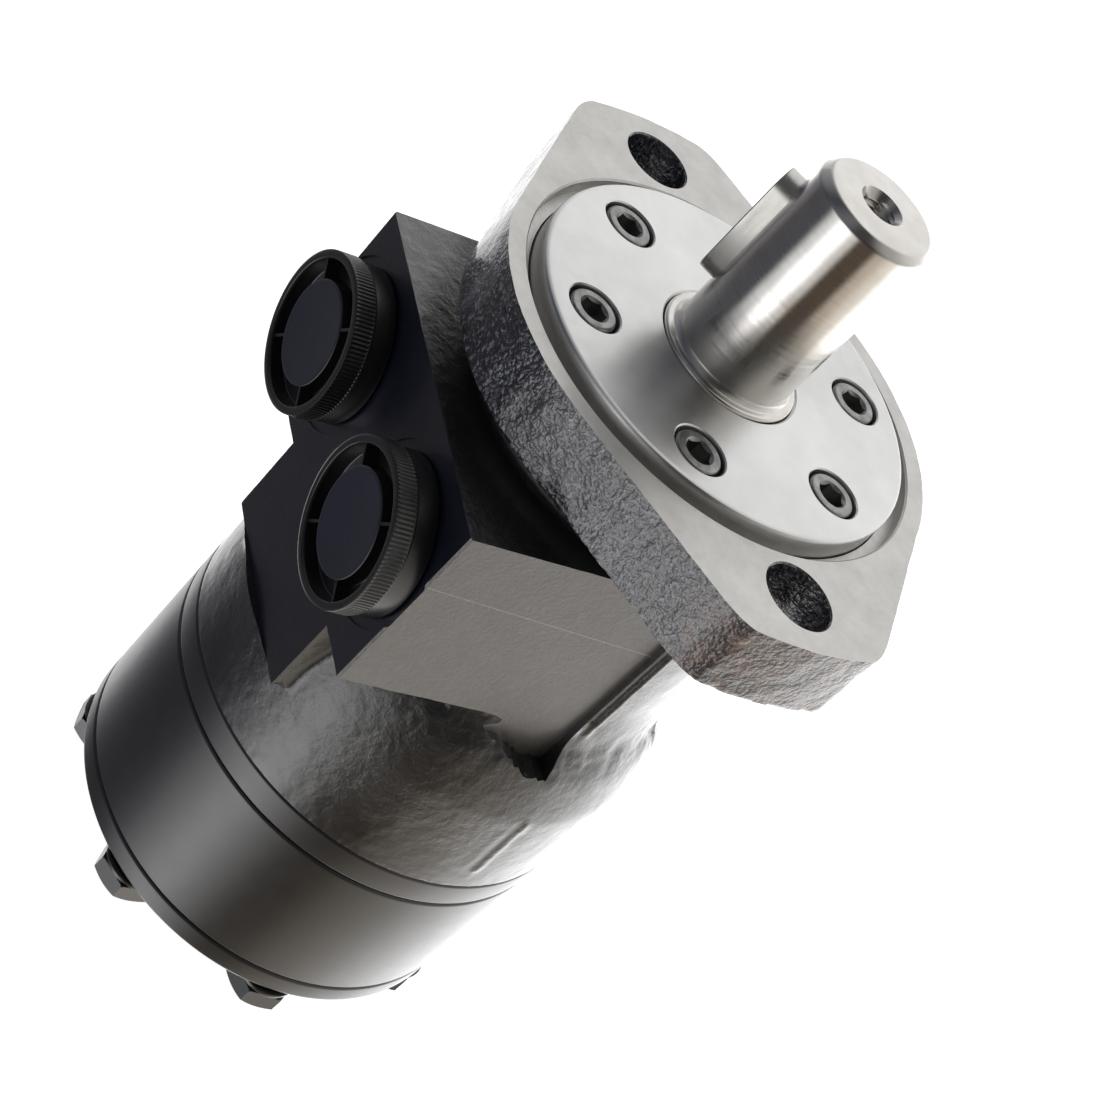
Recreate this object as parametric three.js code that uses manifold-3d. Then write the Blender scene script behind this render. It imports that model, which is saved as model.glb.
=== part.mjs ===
// Spool-valve orbit hydraulic motor with a two-bolt flange, side ports and a keyed shaft.
// Millimetres, +Z up. The shaft points along +Z, the ports face -Y, and the flange's two
// bolt holes lie along X. The origin is the centre of the end cover's rear face.

import * as THREE from 'three';
import { mergeVertices } from 'three/addons/utils/BufferGeometryUtils.js';
import Module from 'manifold-3d';

const wasm = await Module();
wasm.setup();

// ---------------------------------------------------------------- driving dimensions
const GAP = 0.3; // clearance between neighbouring pieces

// Heights of the stack, from the end cover's rear face.
const FLANGE_FACE_Z = 158.5;
const FLANGE_THICKNESS = 16;
const COVER_FACE_Z = FLANGE_FACE_Z + 2;
const BLOCK_FRONT_Z = 136;
const BLOCK_REAR_Z = 93.5;
const PORT_Z = 115.6;
const PAD_REAR_Z = 67.8;
const SHOULDER_Z = 73.7;
const SEAM_HOUSING_Z = 49.2;
const SEAM_SPACER_Z = 41.9;
const SEAM_RING_Z = 6.4;
const BOLT_FACE_Z = 0.4;
const SHAFT_END_Z = 202.4;

// Casting.
const BARREL_RADIUS = 47;
const NECK_RADIUS = 39.5;
const BLOCK_HALF_WIDTH = 38.8;
const PORT_FACE_Y = -50;
const PAD_FACE_Y = -45.3;
const PAD_HALF_WIDTH = 22;

// Mounting flange.
const FLANGE_END_RADIUS = 65.3;
const FLANGE_SIDE_RADIUS = 48;
const FLANGE_CORNER = { x: 62, y: 17 };
const FLANGE_HOLE_X = 53.2;
const FLANGE_HOLE_RADIUS = 7;
const GROOVE_RADIUS = 43.75;
const GROOVE_DEPTH = 3;

// Front cover and its screws.
const PILOT_RADIUS = 41.2;
const COVER_REAR_Z = 148.5;
const SPIGOT_RADIUS = 25.7;
const SPIGOT_REAR_Z = 141;
const SCREW_COUNT = 6;
const SCREW_CIRCLE_RADIUS = 31.55;
const SCREW_FIRST_ANGLE = 30;
const SCREW_HEAD_RADIUS = 5;
const SCREW_HEAD_HEIGHT = 6;
const SCREW_SHANK_RADIUS = 2.7;
const SCREW_TIP_Z = 138;
const SCREW_SOCKET_FLATS = 5;

// Output shaft and key.
const SHAFT_RADIUS = 12.5;
const JOURNAL_RADIUS = 14.9;
const JOURNAL_END_Z = COVER_FACE_Z + 0.5;
const SPOOL_RADIUS = 19;
const SPOOL_REAR_Z = 50;
const SPOOL_FRONT_Z = 133;
const GALLERY_Z = [87, 125];
const GALLERY_HALF_HEIGHT = 3;
const KEY_ANGLE = 224;
const KEY_WIDTH = 8;
const KEY_HEIGHT = 7;
const KEY_SEAT_RADIUS = 8.5;
const KEY_Z = [169.6, 195.2];

const GALLERY_RADIUS = 21.5;
const O_RING_GROOVE_RADIUS = 23.1;
const O_RING_GROOVE_HALF = 1.4;
const REAR_RACE_Z = [133.5, 135.8];
const NEEDLE_CAGE_Z = [136.1, 138.6];
const FRONT_RACE_Z = [138.9, SPIGOT_REAR_Z - GAP];

// Ports and their plugs.
const PORT_X = [-22.35, 22.35];
const PORT_RADIUS = 10.2;
const SPOT_FACE_RADIUS = 17.3;
const SPOT_FACE_DEPTH = 0.4;
const PLUG_RADIUS = 15.9;
const PLUG_FACE = 9;

// Gear set: six lobes on the rotor run inside seven rollers.
const ROLLER_COUNT = 7;
const ROLLER_CIRCLE_RADIUS = 28.5;
const ROLLER_RADIUS = 4.5;
const ORBIT_RADIUS = 2.9;
const RING_BORE_RADIUS = 29.8;
const CHAMBER_HOLE_CIRCLE_RADIUS = 26;

// Rear bolts.
const BOLT_FIRST_ANGLE = -62;
const BOLT_CIRCLE_RADIUS = 40.5;
const BOLT_SHANK_RADIUS = 3.8;
const BOLT_TIP_Z = 64;
const BOLT_HEAD_FLATS = 13;
const BOLT_HEAD_HEIGHT = 4.8;
const WASHER_RADIUS = 7;
const WASHER_THICKNESS = 1;

// Splines of the drive link.
const SPLINE_TEETH = 12;
const LINK_PIVOT_Z = 101;

const ROUND = 40; // facets round the barrel
const MIDDLE = 24; // facets round the shaft, ports and bores
const SMALL = 12; // facets round screw heads
const FINE = 8; // facets round bolt holes
const OIL_WAY = 6; // facets round oil ways

const BOLT_ANGLES = spread(ROLLER_COUNT, BOLT_FIRST_ANGLE);
const ROLLER_ANGLES = spread(ROLLER_COUNT, BOLT_FIRST_ANGLE + 180 / ROLLER_COUNT);
const SCREW_ANGLES = spread(SCREW_COUNT, SCREW_FIRST_ANGLE);

const HOUSING_REAR_Z = SEAM_HOUSING_Z + GAP / 2;
const SPACER_Z = [SEAM_SPACER_Z + GAP / 2, SEAM_HOUSING_Z - GAP / 2];
const RING_Z = [SEAM_RING_Z + GAP / 2, SEAM_SPACER_Z - GAP / 2];
const END_COVER_FRONT_Z = SEAM_RING_Z - GAP / 2;
const ROTOR_Z = [RING_Z[0] + GAP, RING_Z[1] - GAP];

// The flats of a faceted hole clear the shank by the gap, so its corners reach further out.
const BOLT_HOLE_RADIUS = (BOLT_SHANK_RADIUS + GAP) / Math.cos(Math.PI / FINE);
const SCREW_HOLE_RADIUS = (SCREW_SHANK_RADIUS + GAP) / Math.cos(Math.PI / FINE);

const BEARING_FLOOR_Z = SPOOL_FRONT_Z + 0.2;

// The rotor's centre sits one orbit radius out, towards the first roller.
const ORBIT_ANGLE = THREE.MathUtils.degToRad(ROLLER_ANGLES[0]);
const ROTOR_CENTRE = new THREE.Vector3(
  ORBIT_RADIUS * Math.cos(ORBIT_ANGLE),
  ORBIT_RADIUS * Math.sin(ORBIT_ANGLE),
  (RING_Z[0] + RING_Z[1]) / 2,
);

// ---------------------------------------------------------------- materials
const surface = (color, roughness, metalness) =>
  new THREE.MeshStandardMaterial({ color, roughness, metalness });

const BLACK_PAINT = surface(0x17191d, 0.3, 0.2);
const SATIN_BLACK = surface(0x1d1f22, 0.4, 0.3);
const MACHINED_STEEL = surface(0xc4c3c1, 0.35, 0.9);
const POLISHED_STEEL = surface(0xd2cdc6, 0.2, 1);
const BLACK_OXIDE = surface(0x26262a, 0.4, 0.7);
const HARDENED_STEEL = surface(0x9b9da1, 0.3, 0.9);
const RUBBER = surface(0x141414, 0.8, 0);
const PLASTIC = surface(0x14162a, 0.4, 0);

// ---------------------------------------------------------------- geometry helpers
function spread(count, firstAngle) {
  return Array.from({ length: count }, (_, i) => firstAngle + (360 / count) * i);
}

function polar(radius, angle) {
  const a = THREE.MathUtils.degToRad(angle);
  return new THREE.Vector2(radius * Math.cos(a), radius * Math.sin(a));
}

// Points along an arc of the given centre, radius and angles in degrees, both ends included.
function arc(centre, radius, from, to, steps) {
  const at = (i) => polar(radius, from + ((to - from) * i) / steps).add(centre);
  return Array.from({ length: steps + 1 }, (_, i) => at(i));
}

function circle(centre, radius, steps) {
  return arc(centre, radius, 0, 360, steps).slice(0, -1);
}

// Merges shared corners, drops slivers of no area and turns the faces outwards.
function closed(geometry) {
  const bare = new THREE.BufferGeometry();
  bare.setAttribute('position', geometry.getAttribute('position'));
  if (geometry.index) bare.setIndex(geometry.index);
  const merged = mergeVertices(bare, 1e-4);
  const place = merged.getAttribute('position');
  const corners = [new THREE.Vector3(), new THREE.Vector3(), new THREE.Vector3()];
  const kept = [];
  let volume = 0;
  for (let i = 0; i < merged.index.count; i += 3) {
    const triangle = [0, 1, 2].map((k) => merged.index.getX(i + k));
    if (new Set(triangle).size < 3) continue;
    corners.forEach((corner, k) => corner.fromBufferAttribute(place, triangle[k]));
    volume += corners[0].dot(corners[1].clone().cross(corners[2]));
    kept.push(triangle);
  }
  const ordered = volume > 0 ? kept : kept.map(([a, b, c]) => [a, c, b]);
  merged.setIndex(ordered.flat());
  return merged;
}

function toSolid(geometry) {
  const shape = closed(geometry);
  return new wasm.Manifold(new wasm.Mesh({
    numProp: 3,
    vertProperties: new Float32Array(shape.getAttribute('position').array),
    triVerts: new Uint32Array(shape.index.array),
  }));
}

function toGeometry(solid) {
  const mesh = solid.getMesh();
  const geometry = new THREE.BufferGeometry();
  geometry.setAttribute('position', new THREE.BufferAttribute(mesh.vertProperties, 3));
  geometry.setIndex(new THREE.BufferAttribute(mesh.triVerts, 1));
  geometry.computeVertexNormals();
  return geometry;
}

function join(first, ...others) {
  return others.reduce((whole, piece) => whole.add(piece), first);
}

function cut(first, ...others) {
  return others.reduce((whole, piece) => whole.subtract(piece), first);
}

// A profile of [radius, height] pairs turned about Z.
function turned(profile, steps) {
  const points = profile.map(([radius, height]) => new THREE.Vector2(radius, height));
  return new THREE.LatheGeometry(points, steps).rotateX(Math.PI / 2);
}

// A ring with a closed [radius, height] profile.
function turnedRing(profile, steps) {
  return turned([...profile, profile[0]], steps);
}

// An outline of points with holes, raised from z0 to z1.
function prism(outline, z0, z1, holes = []) {
  const shape = new THREE.Shape(outline);
  shape.holes = holes.map((hole) => new THREE.Path(hole));
  const depth = z1 - z0;
  return new THREE.ExtrudeGeometry(shape, { depth, bevelEnabled: false }).translate(0, 0, z0);
}

function drum(radius, z0, z1, steps, centre = new THREE.Vector2()) {
  return prism(circle(centre, radius, steps), z0, z1);
}

function block(low, high) {
  const size = high.map((value, i) => value - low[i]);
  const middle = high.map((value, i) => (value + low[i]) / 2);
  return new THREE.BoxGeometry(...size).translate(...middle);
}

// A straight drilled passage between two points.
function passage(from, to, radius, steps = OIL_WAY) {
  const start = new THREE.Vector3(...from);
  const run = new THREE.Vector3(...to).sub(start);
  const turn = new THREE.Quaternion().setFromUnitVectors(
    new THREE.Vector3(0, 0, 1),
    run.clone().normalize(),
  );
  const hole = drum(radius, 0, run.length(), steps);
  return hole.applyQuaternion(turn).translate(...from);
}

function hexagon(flats) {
  return circle(new THREE.Vector2(), flats / Math.sqrt(3), 6);
}

// Straight-sided teeth between a root and a tip radius, widths given at each in degrees.
function splineOutline(root, tip, rootWidth, tipWidth) {
  return spread(SPLINE_TEETH, 0).flatMap((middle) => [
    polar(root, middle - rootWidth / 2),
    polar(tip, middle - tipWidth / 2),
    polar(tip, middle + tipWidth / 2),
    polar(root, middle + rootWidth / 2),
  ]);
}

// Tooth spaces cut into the shaft's and the rotor's bores.
function splineBore(z0, z1) {
  return prism(splineOutline(10.4, 12.6, 21, 17), z0, z1);
}

// ---------------------------------------------------------------- the model
const motor = new THREE.Group();
motor.name = 'hydraulic_motor';

// Adds a piece as a mesh of its own, placed in its parent group.
function add(name, shape, material, parent = motor) {
  const geometry = shape.isBufferGeometry ? closed(shape) : toGeometry(shape);
  if (!geometry.getAttribute('normal')) geometry.computeVertexNormals();
  const mesh = new THREE.Mesh(geometry, material);
  mesh.name = name;
  parent.add(mesh);
  return mesh;
}

// ---------------------------------------------------------------- housing casting
function flangeOutline() {
  const reach = Math.hypot(FLANGE_CORNER.x, FLANGE_CORNER.y);
  const cornerAngle = THREE.MathUtils.radToDeg(Math.atan2(FLANGE_CORNER.y, FLANGE_CORNER.x));
  const span = THREE.MathUtils.radToDeg(Math.acos(FLANGE_SIDE_RADIUS / reach));
  const tangentAngle = cornerAngle + span;
  const endAngle = cornerAngle - 3;
  const corner = new THREE.Vector2(FLANGE_CORNER.x, FLANGE_CORNER.y);
  const sideStart = corner.clone().lerp(polar(FLANGE_SIDE_RADIUS, tangentAngle), 0.09);
  const centre = new THREE.Vector2();
  const end = arc(centre, FLANGE_END_RADIUS, 0, endAngle, 5);
  const rounding = new THREE.QuadraticBezierCurve(end.at(-1), corner, sideStart);
  const side = arc(centre, FLANGE_SIDE_RADIUS, tangentAngle, 90, 7);
  const quarter = [...end, ...rounding.getPoints(4).slice(1), ...side];
  const mirror = (points, sx, sy) => points.map((p) => new THREE.Vector2(p.x * sx, p.y * sy));
  return [
    ...quarter,
    ...mirror(quarter, -1, 1).reverse().slice(1),
    ...mirror(quarter, -1, -1).slice(1),
    ...mirror(quarter, 1, -1).reverse().slice(1, -1),
  ];
}

function housingBody() {
  const flangeRear = FLANGE_FACE_Z - FLANGE_THICKNESS;
  const barrel = turned([
    [0, HOUSING_REAR_Z],
    [BARREL_RADIUS, HOUSING_REAR_Z],
    [BARREL_RADIUS, SHOULDER_Z],
    [46.3, 77.5],
    [44.2, 85.5],
    [41.4, 90.5],
    [NECK_RADIUS, 98],
    [NECK_RADIUS, flangeRear + 2],
    [0, flangeRear + 2],
  ], ROUND);
  const flange = prism(flangeOutline(), flangeRear, FLANGE_FACE_Z);
  const portBlock = block(
    [-BLOCK_HALF_WIDTH, PORT_FACE_Y, BLOCK_REAR_Z],
    [BLOCK_HALF_WIDTH, 2.5, BLOCK_FRONT_Z],
  );
  const pad = block(
    [-PAD_HALF_WIDTH, PAD_FACE_Y, PAD_REAR_Z],
    [PAD_HALF_WIDTH, 0, BLOCK_REAR_Z + 2],
  );
  return join(toSolid(barrel), toSolid(flange), toSolid(portBlock), toSolid(pad));
}

function housingBores() {
  const coverSeat = COVER_REAR_Z - GAP;
  const boreRadius = SPOOL_RADIUS + 0.4;
  const spoolBore = turned([
    [0, HOUSING_REAR_Z - 1],
    [boreRadius, HOUSING_REAR_Z - 1],
    ...GALLERY_Z.flatMap((z) => [
      [boreRadius, z - GALLERY_HALF_HEIGHT],
      [GALLERY_RADIUS, z - GALLERY_HALF_HEIGHT],
      [GALLERY_RADIUS, z + GALLERY_HALF_HEIGHT],
      [boreRadius, z + GALLERY_HALF_HEIGHT],
    ]),
    [boreRadius, BEARING_FLOOR_Z],
    [SPIGOT_RADIUS + 0.5, BEARING_FLOOR_Z],
    [SPIGOT_RADIUS + 0.5, coverSeat + 1],
    [0, coverSeat + 1],
  ], MIDDLE);
  const coverBore = turned([
    [0, coverSeat],
    [PILOT_RADIUS + GAP, coverSeat],
    [PILOT_RADIUS + GAP, FLANGE_FACE_Z - GROOVE_DEPTH],
    [GROOVE_RADIUS, FLANGE_FACE_Z - GROOVE_DEPTH],
    [GROOVE_RADIUS, FLANGE_FACE_Z + 1],
    [0, FLANGE_FACE_Z + 1],
  ], ROUND);
  const flangeHoles = [-FLANGE_HOLE_X, FLANGE_HOLE_X].map((x) => drum(
    FLANGE_HOLE_RADIUS,
    FLANGE_FACE_Z - FLANGE_THICKNESS - 1,
    FLANGE_FACE_Z + 1,
    24,
    new THREE.Vector2(x, 0),
  ));
  const screwHoles = SCREW_ANGLES.map((angle) => drum(
    SCREW_HOLE_RADIUS,
    SCREW_TIP_Z - 2,
    coverSeat + 1,
    FINE,
    polar(SCREW_CIRCLE_RADIUS, angle),
  ));
  const boltHoles = BOLT_ANGLES.map((angle) => drum(
    BOLT_HOLE_RADIUS,
    HOUSING_REAR_Z - 1,
    BOLT_TIP_Z + 2,
    FINE,
    polar(BOLT_CIRCLE_RADIUS, angle),
  ));
  return [spoolBore, coverBore, ...flangeHoles, ...screwHoles, ...boltHoles, ...oilWays()].map(toSolid);
}

// Port bores, their slanted ways to the two galleries, and the ways to the gear set's chambers.
function oilWays() {
  const commutatorZ = (GALLERY_Z[0] + GALLERY_Z[1]) / 2;
  const ports = PORT_X.flatMap((x) => [
    passage([x, PORT_FACE_Y - 1, PORT_Z], [x, -25, PORT_Z], PORT_RADIUS, MIDDLE),
    passage(
      [x, PORT_FACE_Y - 1, PORT_Z],
      [x, PORT_FACE_Y + SPOT_FACE_DEPTH, PORT_Z],
      SPOT_FACE_RADIUS,
      MIDDLE,
    ),
  ]);
  const toGalleries = [
    passage([PORT_X[0] + 1, -28, PORT_Z + 4], [-11, -13, GALLERY_Z[1]], 3),
    passage([PORT_X[1], -28, PORT_Z - 4], [18, -9.5, GALLERY_Z[0]], 3),
  ];
  const chamberWays = BOLT_ANGLES.flatMap((angle) => {
    const outer = polar(CHAMBER_HOLE_CIRCLE_RADIUS, angle);
    const inner = polar(SPOOL_RADIUS - 1, angle);
    return [
      drum(2.2, HOUSING_REAR_Z - 1, commutatorZ + 2, OIL_WAY, outer),
      passage([inner.x, inner.y, commutatorZ], [outer.x, outer.y, commutatorZ], 1.8),
    ];
  });
  return [...ports, ...toGalleries, ...chamberWays];
}

// A shallow face groove for a square seal, open towards +Z or -Z.
const SEAL_GROOVE = { inner: 34, outer: 36, depth: 1.6 };

function sealGroove(faceZ, into) {
  const floor = faceZ + into * SEAL_GROOVE.depth;
  const mouth = faceZ - into;
  return toSolid(turnedRing([
    [SEAL_GROOVE.inner, floor],
    [SEAL_GROOVE.outer, floor],
    [SEAL_GROOVE.outer, mouth],
    [SEAL_GROOVE.inner, mouth],
  ], MIDDLE));
}

function sealRing(faceZ, into) {
  const floor = faceZ + into * (SEAL_GROOVE.depth - GAP);
  return turnedRing([
    [SEAL_GROOVE.inner + GAP, floor],
    [SEAL_GROOVE.outer - GAP, floor],
    [SEAL_GROOVE.outer - GAP, faceZ],
    [SEAL_GROOVE.inner + GAP, faceZ],
  ], MIDDLE);
}

add('housing', cut(housingBody(), ...housingBores(), sealGroove(HOUSING_REAR_Z, 1)), BLACK_PAINT);
add('housing_seal', sealRing(HOUSING_REAR_Z, 1), RUBBER);

// ---------------------------------------------------------------- front cover
const SEAL_POCKET_RADIUS = 20.5;
const SEAL_POCKET_TOP_Z = 149;
const DUST_GROOVE = { radius: 18.6, low: 152, high: 156.5 };
const O_RING = { centre: 24.5, section: 1, z: 145 };

function frontCover() {
  const bore = JOURNAL_RADIUS + GAP;
  const disc = turned([
    [0, COVER_REAR_Z],
    [PILOT_RADIUS, COVER_REAR_Z],
    [PILOT_RADIUS, COVER_FACE_Z - 0.6],
    [PILOT_RADIUS - 0.6, COVER_FACE_Z],
    [0, COVER_FACE_Z],
  ], ROUND);
  const spigot = turned([
    [0, SPIGOT_REAR_Z],
    [SPIGOT_RADIUS, SPIGOT_REAR_Z],
    [SPIGOT_RADIUS, O_RING.z - O_RING_GROOVE_HALF],
    [O_RING_GROOVE_RADIUS, O_RING.z - O_RING_GROOVE_HALF],
    [O_RING_GROOVE_RADIUS, O_RING.z + O_RING_GROOVE_HALF],
    [SPIGOT_RADIUS, O_RING.z + O_RING_GROOVE_HALF],
    [SPIGOT_RADIUS, COVER_REAR_Z + 1],
    [0, COVER_REAR_Z + 1],
  ], MIDDLE);
  const middle = turned([
    [0, SPIGOT_REAR_Z - 1],
    [SEAL_POCKET_RADIUS, SPIGOT_REAR_Z - 1],
    [SEAL_POCKET_RADIUS, SEAL_POCKET_TOP_Z],
    [bore, SEAL_POCKET_TOP_Z],
    [bore, DUST_GROOVE.low],
    [DUST_GROOVE.radius, DUST_GROOVE.low],
    [DUST_GROOVE.radius, DUST_GROOVE.high],
    [bore, DUST_GROOVE.high],
    [bore, COVER_FACE_Z + 1],
    [0, COVER_FACE_Z + 1],
  ], MIDDLE);
  const body = join(toSolid(disc), toSolid(spigot));
  const counterbores = SCREW_ANGLES.flatMap((angle) => {
    const centre = polar(SCREW_CIRCLE_RADIUS, angle);
    const seat = COVER_FACE_Z - SCREW_HEAD_HEIGHT - 0.2 - GAP;
    return [
      drum(SCREW_HOLE_RADIUS, COVER_REAR_Z - 1, seat + 1, FINE, centre),
      drum(SCREW_HEAD_RADIUS + 0.5, seat, COVER_FACE_Z + 1, SMALL, centre),
    ];
  });
  return cut(body, toSolid(middle), ...counterbores.map(toSolid));
}

function capScrew() {
  const top = COVER_FACE_Z - 0.2;
  const seat = top - SCREW_HEAD_HEIGHT;
  const body = turned([
    [0, SCREW_TIP_Z],
    [SCREW_SHANK_RADIUS - 0.6, SCREW_TIP_Z],
    [SCREW_SHANK_RADIUS, SCREW_TIP_Z + 0.6],
    [SCREW_SHANK_RADIUS, seat],
    [SCREW_HEAD_RADIUS, seat],
    [SCREW_HEAD_RADIUS, top - 0.5],
    [SCREW_HEAD_RADIUS - 0.5, top],
    [0, top],
  ], SMALL);
  const socket = prism(hexagon(SCREW_SOCKET_FLATS), top - 3.2, top + 1);
  return cut(toSolid(body), toSolid(socket));
}

add('front_cover', frontCover(), MACHINED_STEEL);
SCREW_ANGLES.forEach((angle, i) => {
  const centre = polar(SCREW_CIRCLE_RADIUS, angle);
  add(`cover_screw_${i + 1}`, capScrew(), BLACK_OXIDE).position.set(centre.x, centre.y, 0);
});

// Seals and thrust bearing round the journal.
const JOURNAL_CLEARANCE = JOURNAL_RADIUS + GAP;

function journalRing(outer, [low, high]) {
  return turnedRing([
    [JOURNAL_CLEARANCE, low],
    [outer, low],
    [outer, high],
    [JOURNAL_CLEARANCE, high],
  ], MIDDLE);
}

function lipSeal() {
  const outer = SEAL_POCKET_RADIUS - GAP;
  const top = SEAL_POCKET_TOP_Z - GAP;
  return turnedRing([
    [JOURNAL_CLEARANCE, 144.2],
    [16.6, 143.6],
    [17.4, 146.6],
    [18.8, 146.6],
    [18.8, 143.6],
    [outer, 143.6],
    [outer, top],
    [16.4, top],
  ], MIDDLE);
}

function wiper() {
  const outer = DUST_GROOVE.radius - GAP;
  return turnedRing([
    [JOURNAL_CLEARANCE + 0.7, DUST_GROOVE.low + GAP],
    [outer, DUST_GROOVE.low + GAP],
    [outer, DUST_GROOVE.high - GAP],
    [JOURNAL_CLEARANCE, DUST_GROOVE.high - GAP],
  ], MIDDLE);
}

function roundRing({ centre, section, z }) {
  return new THREE.TorusGeometry(centre, section, 5, MIDDLE).translate(0, 0, z);
}

const BEARING_RADIUS = 24.6;

add('dust_seal', wiper(), RUBBER);
add('shaft_seal', lipSeal(), RUBBER);
add('seal_backup_ring', journalRing(SEAL_POCKET_RADIUS - GAP, [SPIGOT_REAR_Z + GAP, 143.2]), HARDENED_STEEL);
add('cover_o_ring', roundRing(O_RING), RUBBER);
add('thrust_race_front', journalRing(BEARING_RADIUS, FRONT_RACE_Z), HARDENED_STEEL);
add('thrust_needle_cage', journalRing(BEARING_RADIUS - 1, NEEDLE_CAGE_Z), HARDENED_STEEL);
add('thrust_race_rear', journalRing(BEARING_RADIUS, REAR_RACE_Z), HARDENED_STEEL);

// ---------------------------------------------------------------- output shaft and key
const SPLINE_Z = [93, 109];

function shaftBody() {
  const grooveRadius = SPOOL_RADIUS - 1.8;
  return turned([
    [0, SPLINE_Z[1] + 3],
    [9.5, SPLINE_Z[1] + 3],
    [10.2, SPLINE_Z[1]],
    [10.2, SPLINE_Z[0]],
    [14.6, SPLINE_Z[0]],
    [14.6, SPOOL_REAR_Z],
    [SPOOL_RADIUS, SPOOL_REAR_Z],
    ...GALLERY_Z.flatMap((z) => [
      [SPOOL_RADIUS, z - GALLERY_HALF_HEIGHT],
      [grooveRadius, z - GALLERY_HALF_HEIGHT],
      [grooveRadius, z + GALLERY_HALF_HEIGHT],
      [SPOOL_RADIUS, z + GALLERY_HALF_HEIGHT],
    ]),
    [SPOOL_RADIUS, SPOOL_FRONT_Z],
    [JOURNAL_RADIUS, SPOOL_FRONT_Z],
    [JOURNAL_RADIUS, JOURNAL_END_Z - 0.4],
    [JOURNAL_RADIUS - 0.4, JOURNAL_END_Z],
    [SHAFT_RADIUS + 0.8, JOURNAL_END_Z],
    [SHAFT_RADIUS, JOURNAL_END_Z + 0.8],
    [SHAFT_RADIUS, SHAFT_END_Z - 1.6],
    [SHAFT_RADIUS - 1.6, SHAFT_END_Z],
    [4.5, SHAFT_END_Z],
    [3.4, SHAFT_END_Z - 1.1],
    [3.4, SHAFT_END_Z - 22],
    [0, SHAFT_END_Z - 24],
  ], MIDDLE);
}

// A key shape with round ends, lying along Z and standing out from the shaft.
function keyShape(width, z0, z1, inner, outer) {
  const half = width / 2;
  const low = new THREE.Vector2(0, z0 + half);
  const high = new THREE.Vector2(0, z1 - half);
  const outline = [...arc(low, half, 180, 360, 8), ...arc(high, half, 0, 180, 8)];
  return prism(outline, inner, outer)
    .rotateX(Math.PI / 2)
    .rotateZ(THREE.MathUtils.degToRad(KEY_ANGLE + 90));
}

// Six slots run from each groove of the spool towards the other, interleaved.
function valveSlots() {
  const reach = 22;
  const depth = 1.8;
  return spread(12, 15).map((angle, i) => {
    const [low, high] = i % 2
      ? [GALLERY_Z[0], GALLERY_Z[0] + reach]
      : [GALLERY_Z[1] - reach, GALLERY_Z[1]];
    return block([SPOOL_RADIUS - depth, -1.8, low], [SPOOL_RADIUS + 1, 1.8, high])
      .rotateZ(THREE.MathUtils.degToRad(angle));
  });
}

const keyway = keyShape(
  KEY_WIDTH + 2 * GAP,
  KEY_Z[0] - GAP,
  KEY_Z[1] + GAP,
  KEY_SEAT_RADIUS,
  SHAFT_RADIUS + 2,
);
const shaftCuts = [keyway, splineBore(SPLINE_Z[0] - 1, SPLINE_Z[1]), ...valveSlots()];
add('output_shaft', cut(toSolid(shaftBody()), ...shaftCuts.map(toSolid)), POLISHED_STEEL);

const keyFoot = KEY_SEAT_RADIUS + GAP;
add('shaft_key', keyShape(KEY_WIDTH, KEY_Z[0], KEY_Z[1], keyFoot, keyFoot + KEY_HEIGHT), POLISHED_STEEL);

// ---------------------------------------------------------------- gear set
function plateHoles() {
  return BOLT_ANGLES.map((angle) => circle(polar(BOLT_CIRCLE_RADIUS, angle), BOLT_HOLE_RADIUS, FINE));
}

const centre = new THREE.Vector2();
const barrelOutline = circle(centre, BARREL_RADIUS, ROUND);

const chamberHoles = BOLT_ANGLES.map((angle) =>
  circle(polar(CHAMBER_HOLE_CIRCLE_RADIUS, angle), 2.4, OIL_WAY));
add('spacer_plate', prism(barrelOutline, ...SPACER_Z, [
  circle(centre, 14, MIDDLE),
  ...plateHoles(),
  ...chamberHoles,
]), SATIN_BLACK);

// The ring's bore: a half-round pocket for each roller, with plain arcs between.
function ringBore() {
  const pocket = ROLLER_RADIUS + GAP;
  const reach = ROLLER_CIRCLE_RADIUS;
  const cosine = (reach ** 2 + RING_BORE_RADIUS ** 2 - pocket ** 2) / (2 * reach * RING_BORE_RADIUS);
  const edge = THREE.MathUtils.radToDeg(Math.acos(cosine));
  const meet = polar(RING_BORE_RADIUS, edge).sub(new THREE.Vector2(reach, 0));
  const wrap = THREE.MathUtils.radToDeg(Math.atan2(meet.y, meet.x));
  const pitch = 360 / ROLLER_COUNT;
  return ROLLER_ANGLES.flatMap((angle) => [
    ...arc(polar(reach, angle), pocket, angle - wrap, angle + wrap, 8),
    ...arc(centre, RING_BORE_RADIUS, angle + edge, angle + pitch - edge, 4).slice(1, -1),
  ]);
}

const ringBody = toSolid(prism(barrelOutline, ...RING_Z, [ringBore(), ...plateHoles()]));
add('gerotor_ring', cut(ringBody, sealGroove(RING_Z[0], 1), sealGroove(RING_Z[1], -1)), SATIN_BLACK);
add('ring_seal_rear', sealRing(RING_Z[0], 1), RUBBER);
add('ring_seal_front', sealRing(RING_Z[1], -1), RUBBER);

ROLLER_ANGLES.forEach((angle, i) => {
  const roller = drum(ROLLER_RADIUS, ...ROTOR_Z, 14, polar(ROLLER_CIRCLE_RADIUS, angle));
  add(`ring_roller_${i + 1}`, roller, HARDENED_STEEL);
});

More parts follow.
